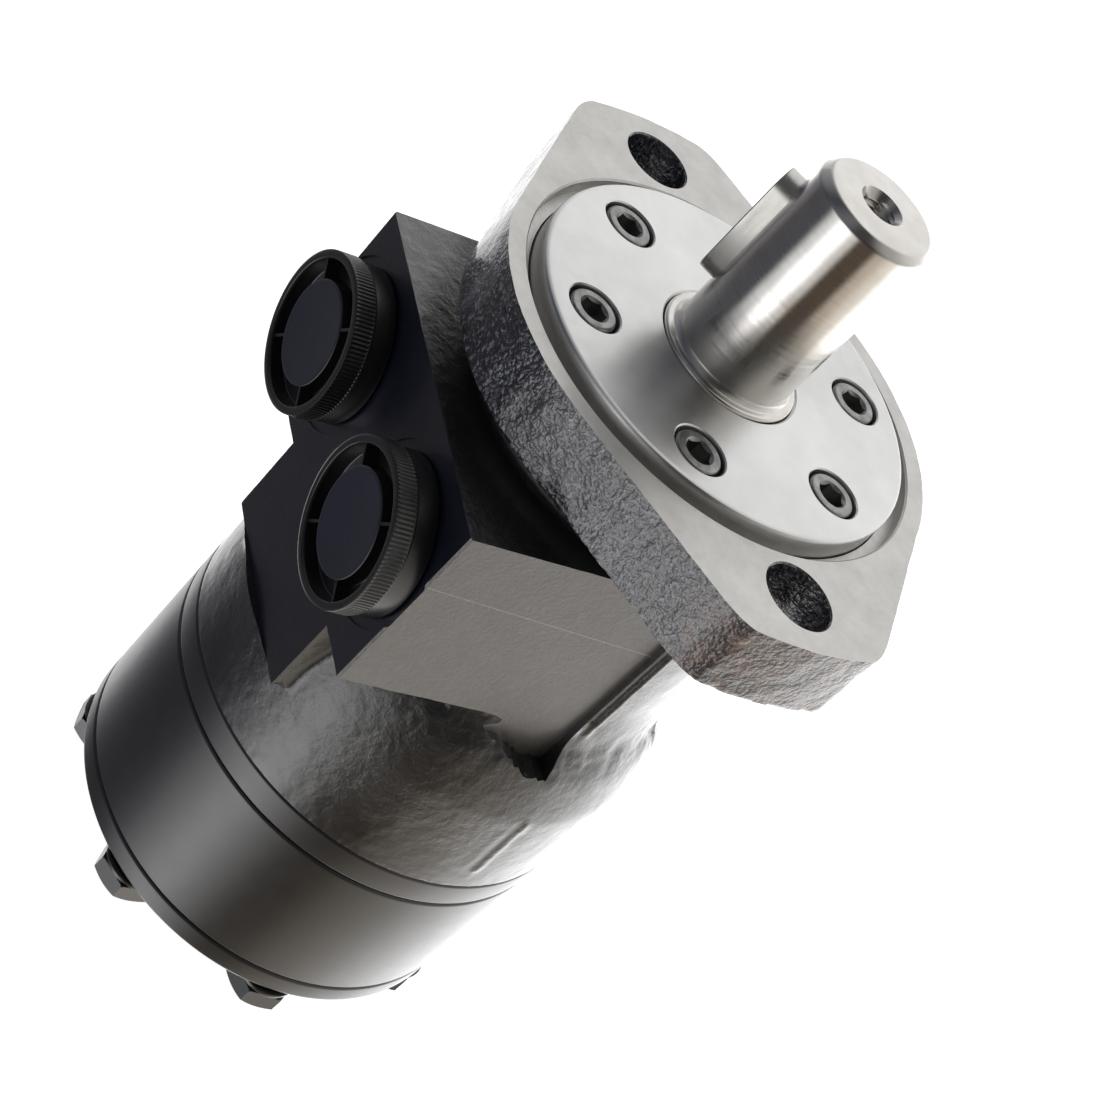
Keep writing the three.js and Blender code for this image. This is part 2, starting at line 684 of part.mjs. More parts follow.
// The rotor's outline is the path that a roller's centre takes, moved in by the roller's radius.
function rotorOutline() {
  const steps = 96;
  const teeth = ROLLER_COUNT;
  const offset = ROLLER_RADIUS + GAP;
  return Array.from({ length: steps }, (_, i) => {
    const t = (2 * Math.PI * i) / steps;
    const slopeX = -ROLLER_CIRCLE_RADIUS * Math.sin(t) + teeth * ORBIT_RADIUS * Math.sin(teeth * t);
    const slopeY = ROLLER_CIRCLE_RADIUS * Math.cos(t) - teeth * ORBIT_RADIUS * Math.cos(teeth * t);
    const inward = new THREE.Vector2(-slopeY, slopeX).normalize();
    return new THREE.Vector2(
      ROLLER_CIRCLE_RADIUS * Math.cos(t) - ORBIT_RADIUS * Math.cos(teeth * t),
      ROLLER_CIRCLE_RADIUS * Math.sin(t) - ORBIT_RADIUS * Math.sin(teeth * t),
    ).addScaledVector(inward, offset);
  });
}

// Everything in this group sits on the rotor's own axis.
const orbit = new THREE.Group();
orbit.position.set(ROTOR_CENTRE.x, ROTOR_CENTRE.y, 0);
motor.add(orbit);

const rotorBody = toSolid(prism(rotorOutline(), ...ROTOR_Z).rotateZ(ORBIT_ANGLE));
add('rotor', cut(rotorBody, toSolid(splineBore(ROTOR_Z[0] - 1, ROTOR_Z[1] + 1))), HARDENED_STEEL, orbit);
add('drive_spacer', drum(9.8, ROTOR_Z[0] + 0.2, ROTOR_Z[0] + 5, SMALL), HARDENED_STEEL, orbit);

// ---------------------------------------------------------------- drive link
// The link leans from its pivot in the shaft's spline to the rotor's centre.
function linkHead(low, high) {
  const crown = 4;
  const shape = new THREE.Shape(splineOutline(9.4, 11.7, 16, 10));
  const options = {
    depth: high - low - 2 * crown,
    bevelThickness: crown,
    bevelSize: 0.6,
    bevelOffset: -0.6,
    bevelSegments: 1,
  };
  return new THREE.ExtrudeGeometry(shape, options).translate(0, 0, low + crown);
}

const pivot = new THREE.Vector3(0, 0, LINK_PIVOT_Z);
const leanDirection = pivot.clone().sub(ROTOR_CENTRE).normalize();
const link = new THREE.Group();
link.position.copy(pivot);
link.quaternion.setFromUnitVectors(new THREE.Vector3(0, 0, 1), leanDirection);
motor.add(link);

const linkRear = -(LINK_PIVOT_Z - ROTOR_Z[0] - 6);
const linkNeck = drum(8, linkRear + 1, 6, SMALL);
add('drive_link', join(
  toSolid(linkNeck),
  toSolid(linkHead(-7, 7)),
  toSolid(linkHead(linkRear, linkRear + 24)),
), HARDENED_STEEL, link);

// ---------------------------------------------------------------- end cover and bolts
function endCover() {
  const padRadius = 30;
  const body = turned([
    [0, 0],
    [padRadius, 0],
    [padRadius + BOLT_FACE_Z, BOLT_FACE_Z],
    [BARREL_RADIUS - 1, BOLT_FACE_Z],
    [BARREL_RADIUS, BOLT_FACE_Z + 1],
    [BARREL_RADIUS, END_COVER_FRONT_Z],
    [0, END_COVER_FRONT_Z],
  ], ROUND);
  const holes = BOLT_ANGLES.map((angle) =>
    drum(BOLT_HOLE_RADIUS, -1, SEAM_RING_Z + 1, FINE, polar(BOLT_CIRCLE_RADIUS, angle)));
  return cut(toSolid(body), ...holes.map(toSolid));
}

const WASHER_TOP_Z = BOLT_FACE_Z - GAP;
const BOLT_SEAT_Z = WASHER_TOP_Z - WASHER_THICKNESS - GAP;

function hexBolt() {
  const low = BOLT_SEAT_Z - BOLT_HEAD_HEIGHT;
  const corner = BOLT_HEAD_FLATS / Math.sqrt(3);
  const head = toSolid(prism(hexagon(BOLT_HEAD_FLATS), low, BOLT_SEAT_Z));
  const rounding = toSolid(turned([
    [0, low],
    [BOLT_HEAD_FLATS / 2 - 0.3, low],
    [corner + 0.2, low + 1],
    [corner + 0.2, BOLT_SEAT_Z],
    [0, BOLT_SEAT_Z],
  ], 12));
  const shank = drum(BOLT_SHANK_RADIUS, BOLT_SEAT_Z - 1, BOLT_TIP_Z, FINE);
  return join(head.intersect(rounding), toSolid(shank));
}

add('end_cover', endCover(), SATIN_BLACK);
BOLT_ANGLES.forEach((angle, i) => {
  const place = polar(BOLT_CIRCLE_RADIUS, angle);
  const bolt = add(`rear_bolt_${i + 1}`, hexBolt(), BLACK_OXIDE);
  bolt.position.set(place.x, place.y, 0);
  bolt.rotation.z = THREE.MathUtils.degToRad(angle + 30);
  const washer = add(`bolt_washer_${i + 1}`, turnedRing([
    [BOLT_HOLE_RADIUS, WASHER_TOP_Z - WASHER_THICKNESS],
    [WASHER_RADIUS, WASHER_TOP_Z - WASHER_THICKNESS],
    [WASHER_RADIUS, WASHER_TOP_Z],
    [BOLT_HOLE_RADIUS, WASHER_TOP_Z],
  ], SMALL), BLACK_OXIDE);
  washer.position.set(place.x, place.y, 0);
});

// ---------------------------------------------------------------- port plugs
// Heights run outwards from the port face: a threaded shank, a grip rim and a centre boss.
function portPlug() {
  const shank = PORT_RADIUS - GAP;
  const recess = { inner: 10.3, outer: 14.2, floor: PLUG_FACE - 3.4 };
  const body = turned([
    [0, 2],
    [8.2, 2],
    [8.2, -11],
    [shank, -11],
    [shank, GAP - SPOT_FACE_DEPTH],
    [PLUG_RADIUS - 0.6, GAP - SPOT_FACE_DEPTH],
    [PLUG_RADIUS - 0.6, 4.6],
    [PLUG_RADIUS, 4.9],
    [PLUG_RADIUS, PLUG_FACE - 0.3],
    [PLUG_RADIUS - 0.4, PLUG_FACE],
    [recess.outer, PLUG_FACE],
    [recess.outer, recess.floor],
    [recess.inner, recess.floor],
    [recess.inner, PLUG_FACE - 0.4],
    [0, PLUG_FACE - 0.4],
  ], MIDDLE);
  const ribs = spread(4, 0).map((angle) => block(
    [recess.inner - 1, -0.4, recess.floor - 1],
    [recess.outer + 0.5, 0.4, PLUG_FACE - 0.6],
  ).rotateZ(THREE.MathUtils.degToRad(angle)));
  return join(toSolid(body), ...ribs.map(toSolid));
}

PORT_X.forEach((x, i) => {
  const plug = add(`port_plug_${i + 1}`, portPlug(), PLASTIC);
  plug.rotation.x = Math.PI / 2;
  plug.position.set(x, PORT_FACE_Y, PORT_Z);
});

export default motor;
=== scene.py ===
"""Looks of the orbit hydraulic motor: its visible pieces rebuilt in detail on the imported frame.

Lengths are in metres, and MM turns millimetres into them. +Z runs along the shaft.
"""

import math
import random

import bpy
from mathutils import Matrix, Vector, noise


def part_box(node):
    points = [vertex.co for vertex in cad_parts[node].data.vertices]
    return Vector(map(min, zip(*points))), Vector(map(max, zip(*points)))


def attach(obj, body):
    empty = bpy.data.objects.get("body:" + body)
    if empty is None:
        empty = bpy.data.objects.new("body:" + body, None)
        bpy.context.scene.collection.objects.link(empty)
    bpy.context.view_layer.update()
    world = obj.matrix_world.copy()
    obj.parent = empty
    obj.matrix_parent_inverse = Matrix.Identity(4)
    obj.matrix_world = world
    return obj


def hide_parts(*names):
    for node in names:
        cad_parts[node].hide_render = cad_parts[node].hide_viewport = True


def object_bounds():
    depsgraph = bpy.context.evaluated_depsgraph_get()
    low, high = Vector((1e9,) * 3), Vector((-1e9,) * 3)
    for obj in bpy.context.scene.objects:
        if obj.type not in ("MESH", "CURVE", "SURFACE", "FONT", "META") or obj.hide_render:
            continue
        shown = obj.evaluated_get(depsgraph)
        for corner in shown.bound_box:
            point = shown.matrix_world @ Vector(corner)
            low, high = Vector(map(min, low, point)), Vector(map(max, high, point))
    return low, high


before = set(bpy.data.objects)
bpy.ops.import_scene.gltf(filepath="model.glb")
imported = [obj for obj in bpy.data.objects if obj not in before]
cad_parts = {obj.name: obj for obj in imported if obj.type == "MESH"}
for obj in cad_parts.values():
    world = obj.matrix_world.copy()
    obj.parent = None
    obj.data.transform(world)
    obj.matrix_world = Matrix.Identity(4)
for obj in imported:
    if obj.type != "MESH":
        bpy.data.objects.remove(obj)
CAD_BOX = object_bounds()

MM = 0.001

# ------------------------------------------------------------- places read from the frame
HOUSING_LOW, HOUSING_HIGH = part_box("housing")
COVER_LOW, COVER_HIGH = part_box("front_cover")
SHAFT_LOW, SHAFT_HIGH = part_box("output_shaft")
KEY_LOW, KEY_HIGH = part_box("shaft_key")
SPACER_LOW, SPACER_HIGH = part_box("spacer_plate")
RING_LOW, RING_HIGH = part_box("gerotor_ring")
END_LOW, END_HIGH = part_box("end_cover")

FLANGE_FACE = HOUSING_HIGH.z
FLANGE_REAR = FLANGE_FACE - 16 * MM
BARREL_RADIUS = END_HIGH.x
PORT_FACE = HOUSING_LOW.y
COVER_FACE = COVER_HIGH.z
PILOT_RADIUS = COVER_HIGH.x
COVER_REAR = 148.5 * MM
SPIGOT_RADIUS = 25.7 * MM
GROOVE_RADIUS = 43.75 * MM
SHOULDER = 73.7 * MM
NECK_RADIUS = 39.5 * MM
BLOCK_HALF_WIDTH = 38.8 * MM
BLOCK_REAR = 93.5 * MM
BLOCK_FRONT = 136 * MM
PAD_HALF_WIDTH = 22 * MM
PAD_FACE = -45.3 * MM
PAD_REAR = 67.8 * MM
FLANGE_HOLE_X = 53.2 * MM
FLANGE_HOLE_RADIUS = 7 * MM
SHAFT_RADIUS = 12.5 * MM
JOURNAL_RADIUS = 14.9 * MM
SPOOL_RADIUS = SHAFT_HIGH.x
PORT_HEIGHT = 115.6 * MM
PORT_RADIUS = 10.2 * MM
SPOT_FACE_RADIUS = 17.3 * MM
SPOT_FACE_DEPTH = 0.4 * MM
SCREW_HOLE_RADIUS = 3.2 * MM
BOLT_HOLE_RADIUS = 4.3 * MM
KEY_ANGLE = math.radians(224)
GALLERIES = (87 * MM, 125 * MM)
GALLERY_HALF = 3 * MM
GALLERY_RADIUS = 21.5 * MM
SPOOL_GROOVE_DEPTH = 1.8 * MM
CHAMBER_CIRCLE = 26 * MM
SCREW_COUNT = 6
BOLT_COUNT = 7
ROLLER_COUNT = 7


def middle(node):
    low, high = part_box(node)
    return (low + high) / 2


def middles(kind, count):
    """The centres of a kind's numbered nodes."""
    return [middle(f"{kind}_{i + 1}") for i in range(count)]


PORT_X = abs(middle("port_plug_2").x)


# ------------------------------------------------------------- mesh helpers
def new_object(name, points, faces):
    mesh = bpy.data.meshes.new(name)
    mesh.from_pydata([tuple(p) for p in points], [], faces)
    mesh.update()
    piece = bpy.data.objects.new(name, mesh)
    bpy.context.scene.collection.objects.link(piece)
    return piece


def eased(profile):
    """Rounds the corners of a profile of (radius, height[, rounding]) points."""
    points = []
    for i, corner in enumerate(profile):
        here = Vector(corner[:2])
        rounding = corner[2] if len(corner) > 2 else 0
        if not rounding or i in (0, len(profile) - 1):
            points.append(here)
            continue
        before = Vector(profile[i - 1][:2]) - here
        after = Vector(profile[i + 1][:2]) - here
        reach = min(rounding, 0.45 * before.length, 0.45 * after.length)
        start = here + before.normalized() * reach
        end = here + after.normalized() * reach
        for step in range(5):
            t = step / 4
            points.append(start * (1 - t) ** 2 + here * 2 * t * (1 - t) + end * t * t)
    return points


def turned(name, profile, steps=128, radius_at=None):
    """A solid turned about Z. A profile that starts off the axis closes on itself.
    radius_at(radius, height, angle) may wave the surface, for a knurl or a thread."""
    points = eased(profile)
    ring = points[0].x > 1e-9
    rows = points if ring else points[1:-1]
    vertices = []
    for row in rows:
        for step in range(steps):
            angle = 2 * math.pi * step / steps
            radius = radius_at(row.x, row.y, angle) if radius_at else row.x
            vertices.append((radius * math.cos(angle), radius * math.sin(angle), row.y))
    faces = []
    pairs = len(rows) if ring else len(rows) - 1
    for i in range(pairs):
        a, b = i * steps, (i + 1) % len(rows) * steps
        for step in range(steps):
            turn = (step + 1) % steps
            faces.append((a + step, a + turn, b + turn, b + step))
    if not ring:
        first, last = len(vertices), len(vertices) + 1
        vertices += [(0, 0, points[0].y), (0, 0, points[-1].y)]
        top = (len(rows) - 1) * steps
        for step in range(steps):
            turn = (step + 1) % steps
            faces.append((first, turn, step))
            faces.append((last, top + step, top + turn))
    return outward(new_object(name, vertices, faces))


def outward(piece):
    """Turns the faces of a closed mesh outwards."""
    mesh = piece.data
    volume = 0
    for face in mesh.polygons:
        corners = [mesh.vertices[v].co for v in face.vertices]
        for a, b in zip(corners[1:], corners[2:]):
            volume += corners[0].dot(a.cross(b))
    if volume < 0:
        mesh.flip_normals()
    return piece


def prism(name, outline, low, high):
    """An outline of (x, y) points raised along Z."""
    count = len(outline)
    vertices = [(x, y, z) for z in (low, high) for x, y in outline]
    sides = [(i, (i + 1) % count, (i + 1) % count + count, i + count) for i in range(count)]
    floor = tuple(reversed(range(count)))
    roof = tuple(range(count, 2 * count))
    return outward(new_object(name, vertices, [floor, roof, *sides]))


def block(name, low, high):
    outline = [(low[0], low[1]), (high[0], low[1]), (high[0], high[1]), (low[0], high[1])]
    return prism(name, outline, low[2], high[2])


def arc(centre, radius, start, end, steps):
    angles = [math.radians(start + (end - start) * i / steps) for i in range(steps + 1)]
    return [(centre[0] + radius * math.cos(a), centre[1] + radius * math.sin(a)) for a in angles]


def circle(centre, radius, steps=48):
    return arc(centre, radius, 0, 360, steps)[:-1]


def drum(name, radius, low, high, centre=(0, 0), steps=48):
    return prism(name, circle(centre, radius, steps), low, high)


def passage(name, start, end, radius, steps=32):
    """A drilled way from start to end."""
    run = Vector(end) - Vector(start)
    hole = drum(name, radius, 0, run.length, steps=steps)
    turn = Vector((0, 0, 1)).rotation_difference(run)
    hole.data.transform(Matrix.Translation(start) @ turn.to_matrix().to_4x4())
    return hole


def move(piece, x, y, z=0):
    piece.data.transform(Matrix.Translation((x, y, z)))


def rotate(piece, angle, axis):
    piece.data.transform(Matrix.Rotation(angle, 4, axis))


def applied(piece):
    """Makes the modifiers of a piece part of its mesh."""
    view = bpy.context.evaluated_depsgraph_get()
    mesh = bpy.data.meshes.new_from_object(piece.evaluated_get(view))
    piece.modifiers.clear()
    old = piece.data
    piece.data = mesh
    bpy.data.meshes.remove(old)
    return piece


def combine(piece, others, operation):
    for other in others:
        change = piece.modifiers.new(operation, "BOOLEAN")
        change.operation = operation
        change.solver = "MANIFOLD"
        change.object = other
        applied(piece)
        bpy.data.objects.remove(other)
    return piece


def cut(piece, *others):
    return combine(piece, others, "DIFFERENCE")


def join(piece, *others):
    return combine(piece, others, "UNION")


def shade(piece, angle=30, bevel=0):
    """Smooth faces, sharp edges, and a fine bevel that catches the light."""
    mesh = piece.data
    mesh.shade_smooth()
    mesh.set_sharp_from_angle(angle=math.radians(angle))
    if bevel:
        edge = piece.modifiers.new("edges", "BEVEL")
        edge.width = bevel
        edge.segments = 2
        edge.limit_method = "ANGLE"
        edge.angle_limit = math.radians(40)
        edge.harden_normals = True
    return piece


def dress(piece, body, slot, material, *nodes):
    """Puts a finished piece on its body, in place of its CAD nodes."""
    if not any(piece.data.materials):
        piece.data.materials.clear()
        piece.data.materials.append(material)
    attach(piece, body)
    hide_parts(*nodes)
    return piece


# ------------------------------------------------------------- material helpers
class Recipe:
    """Short hand for one material's nodes. Lengths in textures are in metres of the object."""

    def __init__(self, name):
        self.material = bpy.data.materials.new(name)
        self.material.use_nodes = True
        self.tree = self.material.node_tree
        self.shader = self.tree.nodes["Principled BSDF"]
        self.place = self.node("ShaderNodeTexCoord").outputs["Object"]

    def node(self, kind, **settings):
        made = self.tree.nodes.new(kind)
        for key, value in settings.items():
            setattr(made, key, value)
        return made

    def link(self, source, target):
        self.tree.links.new(source, target)

    def base(self, **values):
        for key, value in values.items():
            self.shader.inputs[key.replace("_", " ")].default_value = value

    def stretched(self, scale):
        mapping = self.node("ShaderNodeMapping")
        mapping.inputs["Scale"].default_value = scale
        self.link(self.place, mapping.inputs["Vector"])
        return mapping.outputs["Vector"]

    def noise(self, size, detail=3, roughness=0.55, place=None):
        """Noise whose lumps are about size across."""
        made = self.node("ShaderNodeTexNoise")
        made.inputs["Scale"].default_value = 1 / size
        made.inputs["Detail"].default_value = detail
        made.inputs["Roughness"].default_value = roughness
        self.link(place or self.place, made.inputs["Vector"])
        return made.outputs["Fac"]

    def specks(self, size):
        made = self.node("ShaderNodeTexVoronoi")
        made.inputs["Scale"].default_value = 1 / size
        self.link(self.place, made.inputs["Vector"])
        return made.outputs["Distance"]

    def ramp(self, source, *stops):
        made = self.node("ShaderNodeValToRGB")
        band = made.color_ramp
        while len(band.elements) < len(stops):
            band.elements.new(0.5)
        for element, (place, colour) in zip(band.elements, stops):
            element.position = place
            element.color = (*colour, 1) if isinstance(colour, tuple) else (colour,) * 3 + (1,)
        self.link(source, made.inputs["Fac"])
        return made.outputs["Color"]

    def span(self, source, low, high, source_low=0.0, source_high=1.0):
        made = self.node("ShaderNodeMapRange")
        made.inputs["From Min"].default_value = source_low
        made.inputs["From Max"].default_value = source_high
        made.inputs["To Min"].default_value = low
        made.inputs["To Max"].default_value = high
        self.link(source, made.inputs["Value"])
        return made.outputs["Result"]

    def math(self, operation, first, second):
        made = self.node("ShaderNodeMath", operation=operation)
        for slot, value in enumerate((first, second)):
            if isinstance(value, (int, float)):
                made.inputs[slot].default_value = value
            else:
                self.link(value, made.inputs[slot])
        return made.outputs[0]

    def mix(self, factor, first, second):
        made = self.node("ShaderNodeMix", data_type="RGBA")
        self.link(factor, made.inputs["Factor"])
        for slot, value in (("A", first), ("B", second)):
            socket = next(s for s in made.inputs if s.name == slot and s.type == "RGBA")
            if isinstance(value, tuple):
                socket.default_value = (*value, 1)
            else:
                self.link(value, socket)
        return next(s for s in made.outputs if s.type == "RGBA")

    def colour(self, source):
        self.link(source, self.shader.inputs["Base Color"])

    def roughness(self, source):
        self.link(source, self.shader.inputs["Roughness"])

    def bump(self, *layers):
        """layers are (height, depth in metres), laid over each other."""
        normal = None
        for height, depth in layers:
            made = self.node("ShaderNodeBump")
            made.inputs["Strength"].default_value = 1
            made.inputs["Distance"].default_value = depth
            self.link(height, made.inputs["Height"])
            if normal:
                self.link(normal, made.inputs["Normal"])
            normal = made.outputs["Normal"]
        self.link(normal, self.shader.inputs["Normal"])

    def turned_marks(self):
        """Lays the finish marks round the Z axis."""
        tangent = self.node("ShaderNodeTangent", direction_type="RADIAL", axis="Z")
        self.link(tangent.outputs["Tangent"], self.shader.inputs["Tangent"])

    def axes(self):
        """X, Y and Z of the place."""
        split = self.node("ShaderNodeSeparateXYZ")
        self.link(self.place, split.inputs["Vector"])
        return {axis: split.outputs[axis] for axis in "XYZ"}

    def radius(self):
        """The distance from the Z axis."""
        axes = self.axes()
        squares = [self.math("POWER", axes[axis], 2) for axis in "XY"]
        return self.math("SQRT", self.math("ADD", *squares), 0)


# ------------------------------------------------------------- materials
def machined_paint():
    """Black paint over the milled faces of the port block and pad, with a faint navy cast."""
    made = Recipe("black_paint_machined")
    made.base(IOR=1.7, Coat_Weight=0.3, Coat_Roughness=0.15)
    patch = made.noise(14 * MM, 4)
    made.colour(made.ramp(patch, (0.3, (0.009, 0.012, 0.030)), (0.75, (0.015, 0.018, 0.036))))
    made.roughness(made.span(made.noise(5 * MM, 5), 0.24, 0.44))
    cuts = made.noise(1, 3, 0.6, made.stretched((60, 60, 2200)))
    made.bump((cuts, 0.02 * MM), (made.noise(1.6 * MM, 4), 0.05 * MM))
    return made.material


def side_paint():
    """Black paint on the sides of the port block, drawn as a lighter grey-brown that is a painted
    reflection of the warm light on that side, with scribed lines.
    """
    made = Recipe("black_paint_side")
    made.base(IOR=1.8, Coat_Weight=0.25, Coat_Roughness=0.2)
    axes = made.axes()
    scribe_height, scribe_half, scribe_slope = 119.5 * MM, 0.16 * MM, 0.05
    line = made.math("ADD", axes["Z"], made.math("MULTIPLY", axes["Y"], scribe_slope))
    off_line = made.math("ABSOLUTE", made.math("SUBTRACT", line, scribe_height), 0)
    scribe = made.math("LESS_THAN", off_line, scribe_half)
    # Painted reflection: these grey-brown tones stand in for the warm light the side faces reflect;
    # the paint is the same black as the block.
    dark, light = (0.085, 0.079, 0.073), (0.120, 0.113, 0.105)
    painted_sheen = made.ramp(made.noise(7 * MM, 6, 0.6), (0.3, dark), (0.75, light))
    made.colour(made.mix(scribe, painted_sheen, (0.24, 0.23, 0.21)))
    made.roughness(made.span(made.noise(2.4 * MM, 5), 0.30, 0.46))
    pits = made.ramp(made.specks(2.6 * MM), (0.0, 0.0), (0.10, 1.0))
    made.bump((made.noise(1.0 * MM, 5, 0.65), 0.10 * MM), (pits, 0.02 * MM))
    return made.material


def cast_paint():
    """Glossy black paint over the cast barrel, cove and neck, with soft lumps under it."""
    made = Recipe("black_paint_cast")
    made.base(IOR=1.8, Coat_Weight=0.6, Coat_Roughness=0.14)
    patch = made.noise(12 * MM, 5)
    made.colour(made.ramp(patch, (0.3, (0.012, 0.012, 0.014)), (0.75, (0.026, 0.025, 0.025))))
    made.roughness(made.span(made.noise(4 * MM, 5), 0.24, 0.42))
    upper = made.span(made.axes()["Z"], 0.25, 1.0, 54 * MM, 66 * MM)
    grain = made.math("MULTIPLY", made.noise(2.0 * MM, 5, 0.65), upper)
    made.bump((made.noise(7 * MM, 3), 0.38 * MM), (grain, 0.32 * MM))
    return made.material


def rough_paint():
    """Black paint over the coarse sand-cast flange edge, with glints painted into its colour as
    light specks, and a reddish worn end.
    """
    made = Recipe("black_paint_rough")
    made.base(IOR=1.9, Coat_Weight=0.7, Coat_Roughness=0.12)
    grain = made.noise(0.8 * MM, 1, 0.5)
    navy, grey, painted_glint = (0.010, 0.012, 0.022), (0.034, 0.036, 0.052), (0.19, 0.195, 0.23)
    # Painted highlight: the grain's light grey specks are glints laid into the colour, not made by
    # a lamp.
    dark = made.ramp(grain, (0.40, navy), (0.56, grey), (0.70, painted_glint))
    near_end = made.span(made.axes()["X"], 0, 1, 54 * MM, 61 * MM)
    worn = made.math("MULTIPLY", near_end, made.span(made.noise(3 * MM, 5), 0.15, 1, 0.42, 0.62))
    made.colour(made.mix(worn, dark, (0.20, 0.125, 0.105)))
    made.roughness(made.span(made.noise(1.4 * MM, 4), 0.18, 0.44))
    made.bump((made.noise(3.4 * MM, 1), 0.7 * MM), (grain, 0.42 * MM))
    return made.material


def milled_face():
    """Bare iron of the mounting face: fine milling lines over a soft mottle."""
    made = Recipe("milled_face")
    made.base(Metallic=1.0)
    pitch = 0.55 * MM
    lines = made.math("SINE", made.math("MULTIPLY", made.radius(), 2 * math.pi / pitch), 0)
    mottle = made.noise(6 * MM, 5)
    made.colour(made.ramp(mottle, (0.25, (0.55, 0.535, 0.51)), (0.8, (0.69, 0.675, 0.65))))
    made.roughness(made.span(made.noise(1.2 * MM, 4), 0.34, 0.52))
    made.bump((lines, 0.004 * MM), (made.noise(0.8 * MM, 4), 0.02 * MM))
    return made.material


def turned_steel(name, light, dark, roughness, anisotropy):
    """Turned steel, whose fine rings stretch reflections across them."""
    made = Recipe(name)
    made.base(Metallic=1.0, Anisotropic=anisotropy, Anisotropic_Rotation=0.25)
    made.turned_marks()
    stain = made.noise(11 * MM, 4)
    made.colour(made.ramp(stain, (0.3, dark), (0.75, light)))
    made.roughness(made.span(made.noise(3 * MM, 5), roughness - 0.05, roughness + 0.07))
    pitch = 0.7 * MM
    wander = made.math("ADD", made.radius(), made.span(made.noise(20 * MM), 0, 0.4 * MM))
    rings = made.math("SINE", made.math("MULTIPLY", wander, 2 * math.pi / pitch), 0)
    made.bump((rings, 0.0016 * MM), (made.noise(1.5 * MM, 3), 0.004 * MM))
    return made.material


def ground_steel(name, light, dark, roughness, grain, anisotropy=0.0):
    """Ground and polished steel with fine marks round the shaft."""
    made = Recipe(name)
    made.base(Metallic=1.0, Anisotropic=anisotropy, Anisotropic_Rotation=0.25)
    if anisotropy:
        made.turned_marks()
    stain = made.noise(7 * MM, 5)
    made.colour(made.ramp(stain, (0.3, dark), (0.7, light)))
    marks = made.noise(1, 4, 0.6, made.stretched(grain))
    made.roughness(made.span(marks, roughness - 0.06, roughness + 0.1, 0.25, 0.75))
    made.bump((marks, 0.0008 * MM), (made.noise(2.5 * MM, 3), 0.003 * MM))
    return made.material


def satin_paint():
    """Smooth satin black paint on the turned barrel pieces."""
    made = Recipe("satin_black")
    made.base(IOR=1.8, Coat_Weight=0.5, Coat_Roughness=0.24)
    dark, light = (0.012, 0.013, 0.015), (0.020, 0.020, 0.022)
    made.colour(made.ramp(made.noise(16 * MM, 4), (0.3, dark), (0.8, light)))
    made.roughness(made.span(made.noise(4 * MM, 5), 0.33, 0.43))
    made.bump((made.noise(1.6 * MM, 4), 0.010 * MM))
    return made.material


def black_oxide():
    """Blackened screw steel, rubbed lighter in places."""
    made = Recipe("black_oxide")
    made.base(Metallic=1.0)
    rubbed = made.noise(2.2 * MM, 5, 0.65)
    made.colour(made.ramp(rubbed, (0.3, (0.20, 0.20, 0.20)), (0.75, (0.46, 0.455, 0.44))))
    made.roughness(made.span(made.noise(1.0 * MM, 4), 0.28, 0.5))
    made.bump((made.noise(0.5 * MM, 4), 0.015 * MM))
    return made.material


def moulded_plastic(name, dark, light, roughness):
    made = Recipe(name)
    made.base(IOR=1.65, Coat_Weight=0.3, Coat_Roughness=0.2)
    made.colour(made.ramp(made.noise(9 * MM, 3), (0.3, dark), (0.8, light)))
    made.roughness(made.span(made.noise(1.2 * MM, 4), roughness - 0.06, roughness + 0.08))
    made.bump((made.noise(0.6 * MM, 3), 0.010 * MM), (made.noise(6 * MM, 2), 0.05 * MM))
    return made.material


def rubber():
    made = Recipe("seal_rubber")
    made.base(IOR=1.5)
    dark, light = (0.010, 0.010, 0.010), (0.022, 0.021, 0.020)
    made.colour(made.ramp(made.noise(2 * MM), (0.3, dark), (0.8, light)))
    made.roughness(made.span(made.noise(1 * MM), 0.55, 0.75))
    made.bump((made.noise(0.7 * MM), 0.02 * MM))
    return made.material


MACHINED_PAINT = machined_paint()
SIDE_PAINT = side_paint()
CAST_PAINT = cast_paint()
ROUGH_PAINT = rough_paint()
MILLED_FACE = milled_face()
COVER_STEEL = turned_steel("cover_steel", (0.80, 0.80, 0.79), (0.70, 0.70, 0.69), 0.33, 0.75)
SHAFT_STEEL = ground_steel(
    "shaft_steel", (0.78, 0.76, 0.73), (0.66, 0.635, 0.60), 0.17, (90, 90, 1400), 0.8
)
KEY_STEEL = ground_steel("key_steel", (0.66, 0.65, 0.62), (0.50, 0.49, 0.47), 0.3, (900, 900, 120))
HARD_STEEL = ground_steel(
    "hardened_steel", (0.45, 0.46, 0.48), (0.34, 0.35, 0.37), 0.28, (300, 300, 900)
)
SATIN_PAINT = satin_paint()
OXIDE = black_oxide()
PLUG_RIM = moulded_plastic("plug_rim", (0.010, 0.010, 0.012), (0.018, 0.017, 0.018), 0.36)
PLUG_DISC = moulded_plastic("plug_disc", (0.010, 0.011, 0.038), (0.015, 0.016, 0.052), 0.42)
RUBBER = rubber()


# ------------------------------------------------------------- housing casting
CAST, ROUGH, BARE, MACHINED, SIDE = range(5)
HOUSING_MATERIALS = (CAST_PAINT, ROUGH_PAINT, MILLED_FACE, MACHINED_PAINT, SIDE_PAINT)


